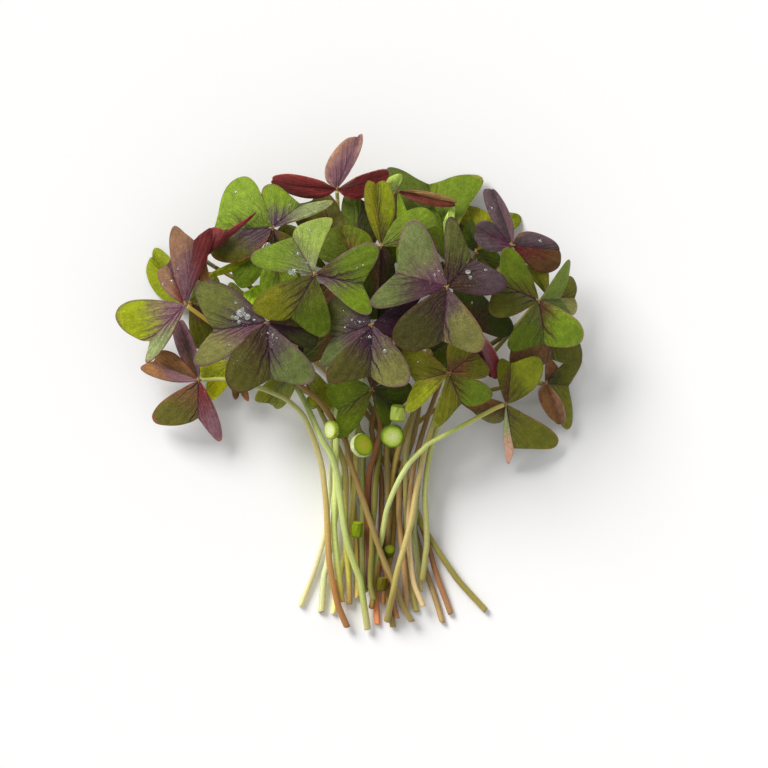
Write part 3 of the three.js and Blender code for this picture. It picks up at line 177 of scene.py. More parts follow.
# stalk: points with their radius, from the cut end up to the knob
STEMS = [
    ("stem_01", [(-6.66, -92.47, 1.06, 1.2), (-5.28, -84.19, 1.12, 1.19), (-4.11, -77.31, 1.71, 1.19), (-1.31, -66.47, 2.78, 1.17), (-0.03, -61.03, 3.67, 1.17), (2.04, -38.76, 5.92, 1.15), (2.35, -31.84, 6.76, 1.14), (2.12, -24.95, 7.71, 1.13), (1.22, -13.91, 9.42, 1.12), (0.43, -2.92, 12.05, 1.11), (-0.13, 4.01, 13.31, 1.09), (-1.33, 17.92, 13.87, 1.04), (-2.24, 30.5, 14.12, 1.01), (-3.24, 45.89, 13.88, 0.96), (-4.22, 57.05, 13.1, 0.93), (-4.59, 62.44, 13.45, 0.91), (-4.69, 64.9, 14.09, 0.9), (-4.83, 68.23, 15.43, 0.89), (-4.96, 71.76, 17.85, 0.87), (-5.07, 74.55, 19.4, 0.86), (-5.1, 75.5, 23.23, 0.85), (-5.14, 76.45, 30.43, 0.85)]),
    ("stem_02", [(6.5, -83.8, 3.67, 1.2), (5.56, -81.18, 3.91, 1.2), (5.38, -79.78, 3.92, 1.2), (5, -71.34, 3.89, 1.19), (5, -54.46, 4.17, 1.17), (5.07, -41.84, 5.09, 1.16), (5.08, -34.86, 5.99, 1.15), (5.16, -29.37, 7.25, 1.14), (4.91, -25.33, 8.48, 1.14), (4.17, -21.36, 9.72, 1.13), (2.78, -16.18, 11.34, 1.13), (-0.15, -7.16, 13.64, 1.12), (-4.95, 8.61, 15.7, 1.06), (-6.7, 13.85, 16.08, 1.04), (-9.31, 20.28, 15.83, 1.02), (-12.37, 26.59, 15.72, 1), (-19.21, 40.51, 17.17, 0.94), (-25.69, 51.29, 17.44, 0.9), (-27.79, 54.75, 17.76, 0.89), (-28.94, 56.85, 18.52, 0.88), (-29.71, 58.47, 19.95, 0.87), (-30.2, 59.68, 21.67, 0.86), (-30.45, 60.3, 24.83, 0.85), (-30.77, 61.02, 25.49, 0.85)]),
    ("stem_03", [(24.95, -95.7, 3.94, 1.25), (21.98, -91.06, 4.79, 1.24), (20.72, -88.66, 5.45, 1.24), (17.94, -81.24, 8.18, 1.23), (17.03, -78.71, 8.74, 1.23), (14.15, -72.62, 10.22, 1.22), (11.75, -66.29, 11.6, 1.21), (9.5, -59.83, 12.76, 1.21), (5.98, -49.23, 12.98, 1.2), (3.78, -42.65, 13.56, 1.19), (-0.13, -31.08, 15.97, 1.17), (-1.29, -24.6, 17.76, 1.17), (-3.57, -20, 19.38, 1.16), (-6.94, -14.64, 21.93, 1.13), (-9.9, -10.49, 25.44, 1.11), (-12.3, -7.46, 27.75, 1.09), (-13.31, -6.48, 28.18, 1.09), (-16.58, -3.67, 28.92, 1.07), (-23.28, 1.69, 29.87, 1.04), (-27.89, 5.04, 30.07, 1.02), (-38.47, 12.11, 29.94, 0.97), (-46.57, 17.63, 30.5, 0.93), (-54.61, 23.14, 31.48, 0.9), (-64.62, 30.4, 33.78, 0.85)]),
    ("stem_04", [(-1.1, -97.74, 3.06, 1.35), (-3.8, -91.45, 4.65, 1.34), (-5.16, -87.58, 5.59, 1.33), (-7.9, -74.11, 7.89, 1.31), (-8.51, -68.62, 8.73, 1.31), (-9.37, -50.56, 10.88, 1.28), (-10.61, -38.18, 12.84, 1.26), (-11.19, -34.11, 13.66, 1.26), (-12.45, -28.87, 15.2, 1.23), (-14.1, -23.84, 17.06, 1.2), (-16.93, -16.55, 20.17, 1.15), (-18.72, -13.12, 21.79, 1.13), (-21.19, -10.17, 23.44, 1.1), (-25.27, -6.87, 25.38, 1.07), (-27.64, -5.47, 25.85, 1.05), (-32.78, -3.27, 25.74, 1.02), (-36.65, -1.89, 24.83, 0.99), (-41.64, -0.33, 22.8, 0.96), (-46.74, 0.87, 20.82, 0.93), (-50.69, 1.44, 19.48, 0.9), (-53.42, 1.5, 18.86, 0.88), (-56.21, 1.28, 18.65, 0.87), (-58.89, 1.16, 19.44, 0.85)]),
    ("stem_05", [(7.12, -98.94, 2.56, 1.35), (4.26, -80.12, 7.32, 1.32), (3.56, -77.5, 8, 1.32), (1.23, -71.1, 9.67, 1.31), (-1.85, -60.55, 12.07, 1.3), (-5, -38.55, 15.46, 1.27), (-6.14, -33.18, 16.59, 1.26), (-7.39, -29.33, 17.68, 1.26), (-10.11, -24.63, 18.98, 1.22), (-11.47, -22.19, 19.15, 1.21), (-17.26, -9.47, 17.43, 1.13), (-21.15, -2.04, 16.27, 1.08), (-22.46, 0.45, 16.36, 1.07), (-23.64, 2.92, 16.98, 1.05), (-25.21, 6.53, 18.51, 1.03), (-26.17, 8.83, 19.86, 1.01), (-27.52, 12.04, 22.36, 0.99), (-28.34, 13.91, 24.37, 0.97), (-29.06, 15.47, 26.66, 0.96), (-29.99, 17.42, 30.38, 0.94), (-31.68, 20.95, 38.01, 0.89), (-32.9, 23.5, 44.53, 0.85)]),
    ("stem_06", [(-19.86, -89.51, 1.34, 1.2), (-14.78, -76.45, 2.01, 1.19), (-12.2, -68.46, 2.65, 1.18), (-10.78, -63.06, 3.16, 1.17), (-9.79, -57.56, 3.69, 1.16), (-8.82, -49.26, 4.69, 1.16), (-7.61, -35.59, 7.41, 1.14), (-7.36, -24.71, 9.88, 1.13), (-7.53, -12.38, 12.71, 1.11), (-8.1, -1.35, 14.93, 1.07), (-8.75, 6.96, 16.21, 1.04), (-10.36, 20.69, 18.07, 1), (-11.08, 26.15, 17.89, 0.98), (-12.13, 32.44, 16.67, 0.95), (-12.5, 34.49, 16.53, 0.95), (-13.87, 41.68, 17.91, 0.87), (-13.91, 41.94, 18.82, 0.87), (-14.04, 42.73, 50.15, 0.85), (-14.08, 43.02, 51.52, 0.85)]),
    ("stem_07", [(-11.46, -91.95, 1.3, 1.35), (-10.37, -78.13, 2.77, 1.33), (-8.89, -71.38, 3.62, 1.32), (-5.04, -48.16, 6.17, 1.29), (-2.58, -36.01, 7.83, 1.27), (-1.68, -32.01, 8.73, 1.26), (2.09, -14.87, 14.51, 1.18), (6.3, 6.27, 19.23, 1.05), (7.06, 10.07, 20.4, 1.03), (7.5, 12.37, 21.59, 1.01), (7.82, 14.28, 23.25, 0.99), (8.03, 15.76, 25.22, 0.98), (8.21, 17.48, 28.43, 0.95), (8.51, 20.9, 39.29, 0.89), (8.59, 22.83, 47.24, 0.85)]),
    ("stem_08", [(26.71, -91.71, 1.11, 1.25), (23.52, -76.73, 2.55, 1.23), (22.48, -65.66, 3.97, 1.22), (22.34, -58.71, 5.02, 1.21), (22.39, -51.77, 6.35, 1.2), (22.44, -29.93, 11.93, 1.18), (23.37, -22.02, 14.25, 1.17), (25, -14.17, 16.45, 1.15), (29.43, 1.75, 19.18, 1.08), (33.47, 14.83, 22.05, 1.02), (34.69, 18.65, 23.28, 1), (35.43, 21.07, 24.46, 0.99), (36.07, 23.28, 26.04, 0.98), (36.58, 25.19, 28.02, 0.97), (37.16, 27.58, 31.42, 0.95), (37.73, 30.26, 36.3, 0.93), (38.62, 35.08, 46.37, 0.88), (38.77, 37.75, 54.32, 0.85)]),
    ("stem_09", [(28.23, -83.72, 2.13, 1.2), (27.93, -78.15, 2.53, 1.19), (26.81, -68.46, 3.82, 1.18), (25.7, -60.25, 5.61, 1.17), (25.66, -56.12, 6.59, 1.17), (26.18, -52.02, 7.39, 1.16), (28.18, -32.9, 8.97, 1.14), (29.26, -28.95, 9.44, 1.13), (30.66, -25.15, 10.12, 1.13), (32.89, -20.26, 11, 1.12), (35.62, -15.55, 11.49, 1.11), (38.74, -11.01, 11.47, 1.09), (42.9, -5.49, 11.03, 1.07), (50.67, 4.23, 14.39, 1.02), (55.94, 10.55, 16.26, 0.99), (61.34, 16.72, 17.48, 0.96), (68.39, 24.72, 18.51, 0.91), (69.96, 26.59, 19, 0.9), (71.91, 28.99, 20.28, 0.89), (74.06, 31.59, 22.38, 0.87), (74.5, 32.04, 23, 0.86), (74.79, 32.25, 27.77, 0.86), (75.1, 32.51, 28.26, 0.85)]),
    ("stem_10", [(10.98, -96.89, 1.06, 1.2), (10.36, -87.11, 1.06, 1.19), (10.8, -81.54, 1.09, 1.18), (11, -77.37, 1.38, 1.18), (12.08, -67.67, 2.11, 1.17), (13.55, -59.42, 2.9, 1.16), (14.71, -52.55, 3.98, 1.16), (15.74, -44.27, 5.74, 1.15), (16.87, -37.47, 7.72, 1.14), (18.32, -30.73, 8.48, 1.13), (20.36, -24.17, 9.29, 1.13), (23.52, -16.52, 10.13, 1.12), (27.03, -9.03, 10.99, 1.1), (31.99, 0.82, 13.1, 1.07), (37.97, 11.82, 13.65, 1.03), (42.81, 20.24, 13.55, 1), (47.7, 28.54, 12.92, 0.97), (52.59, 36.6, 11.88, 0.94), (58.87, 46.52, 10.16, 0.9), (61.58, 50.59, 10, 0.88), (62.2, 51.41, 10.35, 0.88), (64.08, 53.77, 29.56, 0.86), (64.3, 54.18, 34.51, 0.85), (64.5, 54.56, 35.83, 0.85)]),
    ("stem_11", [(17.27, -98.08, 1.48, 1.2), (15.54, -87.01, 2.82, 1.19), (15.01, -79.95, 3.64, 1.18), (14.84, -73.04, 3.74, 1.18), (14.77, -67.48, 3.27, 1.17), (15.25, -56.51, 5.85, 1.16), (15.07, -41.3, 9.12, 1.14), (14.32, -16.47, 12.88, 1.12), (14.16, -12.35, 13.16, 1.11), (13.77, -1.33, 13.23, 1.07), (13.26, 11.1, 14.31, 1.03), (12.77, 27.56, 15.13, 0.98), (12.59, 35.55, 15.05, 0.96), (12.4, 46.46, 13.98, 0.92), (12.42, 53.09, 14.87, 0.86), (12.42, 53.45, 15.69, 0.86), (12.42, 53.82, 26.91, 0.85), (12.42, 54.22, 27.45, 0.85)]),
    ("stem_12", [(14.73, -95.65, 4.12, 1.35), (16, -89.62, 7.35, 1.34), (17, -85.04, 10.24, 1.33), (17.53, -82.43, 11.03, 1.32), (18.05, -79.72, 11.41, 1.32), (19.21, -74.31, 11.53, 1.31), (24.13, -57, 12.54, 1.28), (26.25, -44.7, 13.56, 1.26), (28.33, -33.86, 15.09, 1.18), (29.62, -28.57, 16.26, 1.14), (30.74, -24.69, 17.36, 1.11), (33.39, -15.95, 20.79, 1.03), (35.63, -8.88, 24.64, 0.97), (37.16, -4.54, 27.8, 0.93), (38.57, -0.43, 31.29, 0.89), (39.38, 2.93, 35.65, 0.85)]),
    ("stem_13", [(8.44, -90.1, 3.09, 1.2), (9.06, -87.44, 3.57, 1.2), (9.7, -83.36, 4, 1.19), (9.84, -79.18, 4.54, 1.18), (10.34, -72.32, 6.15, 1.17), (10.65, -69.6, 6.98, 1.17), (12.44, -63.16, 8.75, 1.16), (14.25, -52.89, 12.32, 1.14), (15.26, -49.13, 13.79, 1.13), (17.63, -43.05, 16.21, 1.12), (19.96, -38.28, 17.94, 1.11), (22.73, -33.65, 19.4, 1.08), (24.38, -31.45, 19.94, 1.06), (29.24, -26.5, 20.87, 1.03), (33.69, -23.16, 21.46, 1), (55.93, -11.36, 23.04, 0.88), (59.73, -9.58, 23.24, 0.86), (61.01, -9.08, 22.96, 0.85)]),
    ("stem_14", [(13.06, -88.57, 1.06, 1.2), (13.77, -81.72, 1.06, 1.19), (16.25, -69.3, 1.04, 1.17), (17.12, -62.3, 1.12, 1.17), (17.94, -49.73, 1.2, 1.15), (17.96, -38.53, 1, 1.13), (18.47, -32.94, 0.99, 1.13), (18.96, -30.17, 1, 1.12), (19.84, -26.09, 1.77, 1.12), (20.79, -23.47, 2.32, 1.11), (22.17, -21.05, 2.87, 1.1), (24.9, -17.9, 3.67, 1.08), (30.29, -13.49, 4.87, 1.06), (36.16, -9.74, 5.9, 1.03), (42.41, -6.68, 6.81, 1), (49.05, -4.57, 7.62, 0.97), (59.93, -2.13, 8.78, 0.92), (65.43, -1.2, 9.16, 0.9), (71, -0.68, 9.53, 0.88), (73.71, -0.41, 10.12, 0.87), (74.92, -0.3, 10.8, 0.86), (76.79, -0.2, 12.88, 0.85)]),
    ("stem_15", [(9.65, -87.08, 6.43, 1.25), (8.27, -80.26, 6.89, 1.24), (8.81, -67.96, 9.34, 1.23), (8.87, -63.86, 9.76, 1.22), (8.98, -58.3, 9.88, 1.22), (9.86, -48.6, 10.03, 1.21), (10.36, -38.91, 10.64, 1.2), (11.46, -30.65, 10.92, 1.19), (11.84, -25.14, 10.98, 1.18), (12.38, -21.01, 10.59, 1.18), (13.31, -15.51, 10.42, 1.17), (14.74, -11.57, 10.51, 1.17), (17.38, -8.32, 10.66, 1.16), (21.89, -4.99, 10.65, 1.14), (31.59, 0.62, 10.49, 1.09), (37.59, 4.17, 11.47, 1.06), (55.53, 14.81, 13, 0.98), (63.55, 20.26, 14.06, 0.94), (69.67, 25.77, 15.5, 0.91), (72.47, 28.71, 16.5, 0.89), (75.25, 31.52, 17.86, 0.88), (76.18, 32.32, 18.52, 0.87), (76.98, 32.96, 19.46, 0.87), (78.47, 33.76, 23.26, 0.85)]),
    ("stem_16", [(22.42, -92.49, 1.47, 1.25), (22.12, -78.83, 4.75, 1.23), (21.68, -73.31, 5.61, 1.23), (20.45, -62.23, 6.65, 1.21), (19.7, -53.87, 6.94, 1.2), (19.7, -45.47, 7.4, 1.19), (20.09, -39.89, 7.65, 1.19), (20.52, -37.15, 7.79, 1.18), (21.44, -33.1, 8.32, 1.18), (24.59, -24.03, 10.66, 1.17), (25.72, -20.05, 11.62, 1.16), (26.75, -14.59, 12.69, 1.14), (27.84, -6.3, 14.02, 1.1), (29.78, 6.1, 14.42, 1.05), (34.94, 27.85, 14.4, 0.95), (36.85, 37.44, 14.78, 0.91), (37.56, 41.55, 15.18, 0.89), (38.01, 44.22, 15.84, 0.88), (38.2, 45.43, 16.5, 0.87), (38.32, 46.32, 17.56, 0.87), (38.34, 47.53, 21.55, 0.85)]),
    ("stem_17", [(7.97, -81.66, 1.78, 1.35), (7.74, -66.43, 4.71, 1.32), (7.25, -58.14, 6.26, 1.3), (7.09, -49.81, 7.47, 1.28), (7.25, -41.57, 9.18, 1.26), (8.02, -34.88, 11.15, 1.21), (10.64, -25.89, 14.06, 1.12), (11.91, -19.34, 16.05, 1.05), (12, -16.78, 17.14, 1.02), (11.77, -14.34, 18.45, 1), (10.62, -8.6, 22.19, 0.93), (10.14, -6.59, 24.04, 0.9), (9.1, -3.6, 28.6, 0.85)]),
    ("stem_18", [(18.84, -94.36, 3.73, 1.15), (17.16, -87.7, 5.06, 1.14), (16.69, -83.51, 5.58, 1.14), (16.79, -80.57, 5.67, 1.14), (16.59, -79.07, 5.89, 1.14), (16.02, -77.7, 6.2, 1.13), (15.29, -76.43, 6.43, 1.13), (14, -73.87, 6.34, 1.13), (12.69, -69.95, 5.29, 1.13), (12.35, -68.62, 5.02, 1.13), (12.18, -67.24, 5.01, 1.12), (12.45, -56.15, 6.07, 1.11), (12.74, -43.56, 6.55, 1.1), (12.49, -37.98, 6.9, 1.1), (11.85, -33.88, 7.47, 1.09), (9.93, -25.85, 9.11, 1.09), (8.89, -20.46, 10.61, 1.08), (8.73, -17.71, 11.32, 1.08), (9.67, -12.28, 12.81, 1.07), (12.67, -3.13, 15.46, 1.05), (13.88, 0.88, 16, 1.04), (15.05, 6.37, 16.19, 1.03), (15.86, 13.35, 16.09, 1.01), (16.43, 21.76, 15.75, 0.99), (16.81, 41.38, 14.66, 0.94), (16.35, 48.38, 14.24, 0.92), (14.78, 59.47, 14.33, 0.9), (14.4, 63.66, 14.51, 0.89), (14.7, 67.8, 15.19, 0.87), (15.94, 71.63, 16.5, 0.86), (17.82, 75.06, 18.1, 0.85), (18.27, 75.78, 19.2, 0.85)]),
    ("stem_19", [(37.1, -95.91, 1.01, 1.15), (33.42, -83.86, 1.05, 1.14), (30.08, -74.66, 1.41, 1.13), (28.31, -67.89, 1.43, 1.12), (24.08, -53.11, 1.98, 1.11), (21.77, -45.07, 2.02, 1.1), (20.57, -41.08, 2.35, 1.1), (19.26, -37.16, 3.42, 1.1), (17.51, -31.98, 5.44, 1.09), (15.56, -25.29, 6.63, 1.09), (13.54, -20.14, 7.44, 1.08), (7.1, -7.96, 9.24, 1.07), (0.55, 2.56, 10.58, 1.04), (-4.39, 9.2, 11.95, 1.02), (-10.01, 15.3, 13.1, 1), (-17.23, 21.76, 14.1, 0.98), (-24.84, 27.78, 14.53, 0.95), (-31.52, 32.75, 14.28, 0.94), (-37.25, 36.68, 13.53, 0.92), (-42.03, 39.54, 12.39, 0.91), (-52.84, 45.61, 9.01, 0.88), (-54.92, 46.88, 14.15, 0.87), (-56.48, 47.87, 20.01, 0.86), (-57.68, 48.77, 26.13, 0.86), (-58.02, 49.31, 29.22, 0.85), (-57.71, 49.73, 30.52, 0.85)]),
    ("stem_20", [(40.42, -92.51, 1.01, 1.15), (34.71, -76.87, 2.42, 1.13), (32, -67.49, 2.51, 1.13), (27.31, -52.84, 1.84, 1.11), (21.81, -36.87, 2.67, 1.1), (19.4, -31.79, 3.49, 1.09), (13.77, -22.18, 4.06, 1.08), (9.77, -16.44, 4.38, 1.07), (4.53, -9.89, 4.61, 1.06), (-3.87, -0.53, 4.76, 1.03), (-12.02, 7.12, 4.81, 1), (-19.81, 13.04, 4.79, 0.97), (-30.39, 19.83, 4.73, 0.94), (-40.2, 25.2, 4.85, 0.91), (-44.04, 26.87, 5, 0.9), (-48.01, 28.22, 5.2, 0.89), (-53.41, 29.61, 5.58, 0.88), (-60.17, 31.15, 6.38, 0.86), (-61.48, 31.51, 6.73, 0.86), (-62.48, 31.71, 7.58, 0.85), (-62.83, 31.66, 8.88, 0.85)]),
    ("stem_21", [(54.54, -91.31, 1.21, 1.25), (45.11, -81.06, 2.25, 1.23), (40.81, -75.6, 2.89, 1.23), (31.74, -61.64, 4.63, 1.21), (23.35, -47.14, 4.67, 1.19), (17.19, -37.76, 5.01, 1.17), (12.2, -29.4, 5.46, 1.15), (7.91, -23.94, 5.76, 1.12), (1.23, -16.84, 6.2, 1.08), (-4.96, -11.22, 6.62, 1.05), (-10.65, -7.19, 6.94, 1.02), (-16.83, -3.96, 7.21, 0.99), (-25.74, 0.02, 7.66, 0.95), (-33.22, 3.73, 8.38, 0.91), (-38.16, 6.22, 9.09, 0.89), (-41.85, 8.01, 9.94, 0.87), (-43.02, 8.51, 10.49, 0.86), (-44.51, 8.77, 12.77, 0.85)]),
    ("stem_22", [(-0.26, -88.9, 2.6, 1.2), (-0.39, -77.74, 4.05, 1.18), (-1.42, -66.61, 5.59, 1.16), (-1.78, -55.48, 6.84, 1.14), (-1.57, -40.32, 9.65, 1.12), (-1.8, -36.22, 10.58, 1.11), (-2.26, -33.54, 11.17, 1.09), (-3.35, -29.65, 11.78, 1.07), (-5.33, -24.59, 12.44, 1.04), (-9.66, -15.98, 14.29, 0.99), (-16.83, -0.81, 16.35, 0.9), (-18.52, 2.93, 17.54, 0.88), (-19.53, 5.36, 18.7, 0.86), (-19.86, 6.47, 19.54, 0.86), (-19.83, 7.24, 20.72, 0.85)]),
    ("stem_23", [(2.82, -86.11, 1.42, 1.15), (2.74, -72.17, 1.77, 1.13), (1.84, -54.07, 1.94, 1.12), (1.3, -45.73, 2.45, 1.11), (0.81, -38.8, 3.42, 1.1), (0.44, -30.53, 4.98, 1.09), (-1.78, -15.69, 8.67, 1.07), (-3, -10.38, 9.97, 1.06), (-4.97, -3.83, 11.43, 1.04), (-12.16, 15.43, 15.48, 0.98), (-15.71, 24.37, 16.85, 0.95), (-19.95, 34.57, 17.72, 0.92), (-24.94, 45.97, 20.01, 0.88), (-26.64, 49.7, 21.02, 0.87), (-27.86, 51.97, 22.16, 0.86), (-29.01, 53.5, 24.25, 0.85), (-29.23, 53.98, 25.52, 0.85)]),
    ("stem_24", [(-3.27, -87.71, 2.78, 1.35), (-3.82, -83.68, 3.81, 1.34), (-5.78, -65.96, 6.96, 1.32), (-6.48, -56.34, 8.43, 1.31), (-5.73, -43.97, 10.65, 1.29), (-5.78, -32.98, 12.99, 1.27), (-5.52, -24.87, 15.2, 1.26), (-5.35, -20.77, 15.47, 1.26), (-5.05, -11.16, 15.11, 1.2), (-4.78, -7.04, 15.55, 1.18), (-3.91, 2.59, 17.54, 1.12), (-3.34, 8.11, 18.05, 1.09), (-2.48, 16.4, 18.22, 1.04), (-1.13, 28.76, 17.87, 0.96), (-0.17, 36.96, 18, 0.92), (0.63, 43.68, 24.52, 0.87), (0.78, 44.92, 26.1, 0.87), (0.92, 45.93, 28.01, 0.86), (1.06, 46.97, 28.92, 0.85)]),
    ("stem_25", [(29.46, -89.51, 4.44, 1.15), (26.6, -83.22, 5.56, 1.14), (25.7, -80.61, 6.02, 1.14), (24.87, -76.55, 6.75, 1.13), (23.9, -68.3, 8.12, 1.13), (23.63, -62.73, 8.81, 1.12), (23.51, -52.95, 9.58, 1.11), (24.26, -43.21, 10.52, 1.1), (24.92, -37.63, 10.64, 1.09), (26.82, -28.03, 10.19, 1.08), (31.24, -13.29, 9.4, 1.06), (37.43, 3.8, 8.96, 1), (42.01, 17.04, 9.57, 0.96), (44.49, 26.53, 9.53, 0.93), (48.11, 42.93, 9.27, 0.88), (48.75, 45.65, 9.43, 0.87), (49.4, 48.32, 9.95, 0.87), (49.71, 49.52, 10.59, 0.86), (50.21, 51.46, 12.51, 0.85), (50.27, 51.67, 13.88, 0.85)]),
    ("stem_26", [(28.84, -79.31, 5.23, 1.3), (30.06, -69.76, 6.61, 1.28), (30.69, -62.88, 7.42, 1.27), (30.03, -46.48, 10.48, 1.24), (30.46, -38.3, 12.12, 1.23), (31.54, -30.23, 13.99, 1.22), (32.69, -24.94, 15.34, 1.2), (34.56, -18.45, 17, 1.15), (38.43, -6.86, 19.86, 1.07), (43.82, 10.11, 23.17, 0.95), (45.6, 15.24, 24.43, 0.91), (47.17, 18.86, 25.79, 0.89), (48.18, 21.07, 27.14, 0.87), (48.46, 21.76, 28.28, 0.86), (48.56, 22.03, 29.64, 0.85)]),
]

# bud: centre, radius, half length, axis
BUDS = [
    ("bud_1", (-7.38, -18.91, 27.34), 3.92, 1.36, (-0.75, -0.05, 0.65)),
    ("bud_2", (4.66, -25.11, 25.34), 5.04, 1.68, (0.55, 0.22, 0.8)),
    ("bud_3", (16.94, -21.31, 25.84), 4.88, 2.24, (0.05, -0.2, 1)),
    ("bud_4", (19.22, -12.11, 29.84), 3.2, 3.72, (0.12, 1, 0.15)),
    ("bud_5", (-14.78, -7.51, 24.04), 2.96, 2.4, (0.3, 0.3, 1)),
    ("bud_6", (2.82, -58.75, 10.85), 2.4, 3.4, (0.1, 1, 0.25)),
    ("bud_7", (15.62, -67.51, 7.34), 2.4, 2.6, (0.2, 0.5, 1)),
    ("bud_8", (12.82, -80.51, 7.84), 2.2, 3, (0.1, 1, 0.2)),
]

# ---------------------------------------------------------------- tints, 0 to 255
TINT = {
    "lime": (142, 152, 8), "citron": (134, 134, 0), "leaf": (106, 128, 24), "fresh": (120, 146, 30),
    "pale": (146, 168, 72), "frost": (140, 152, 98), "grass": (90, 108, 8), "moss": (92, 94, 14),
    "deep": (60, 72, 4), "shade": (46, 54, 0), "olive": (104, 108, 42), "drab": (102, 98, 34),
    "khaki": (134, 132, 70), "sage": (112, 124, 66), "plum": (86, 48, 66), "mauve": (124, 88, 96),
    "ash": (100, 80, 84), "slate": (80, 66, 68), "wine": (116, 44, 44), "maroon": (94, 34, 34),
    "rust": (148, 80, 58), "brown": (122, 84, 48), "tan": (162, 124, 80), "umber": (86, 62, 34),
    "ink": (50, 26, 42), "bark": (72, 48, 30), "rose": (172, 132, 114), "fawn": (146, 108, 80),
    "blood": (72, 22, 24), "cocoa": (72, 38, 30), "olivine": (130, 138, 20),
}

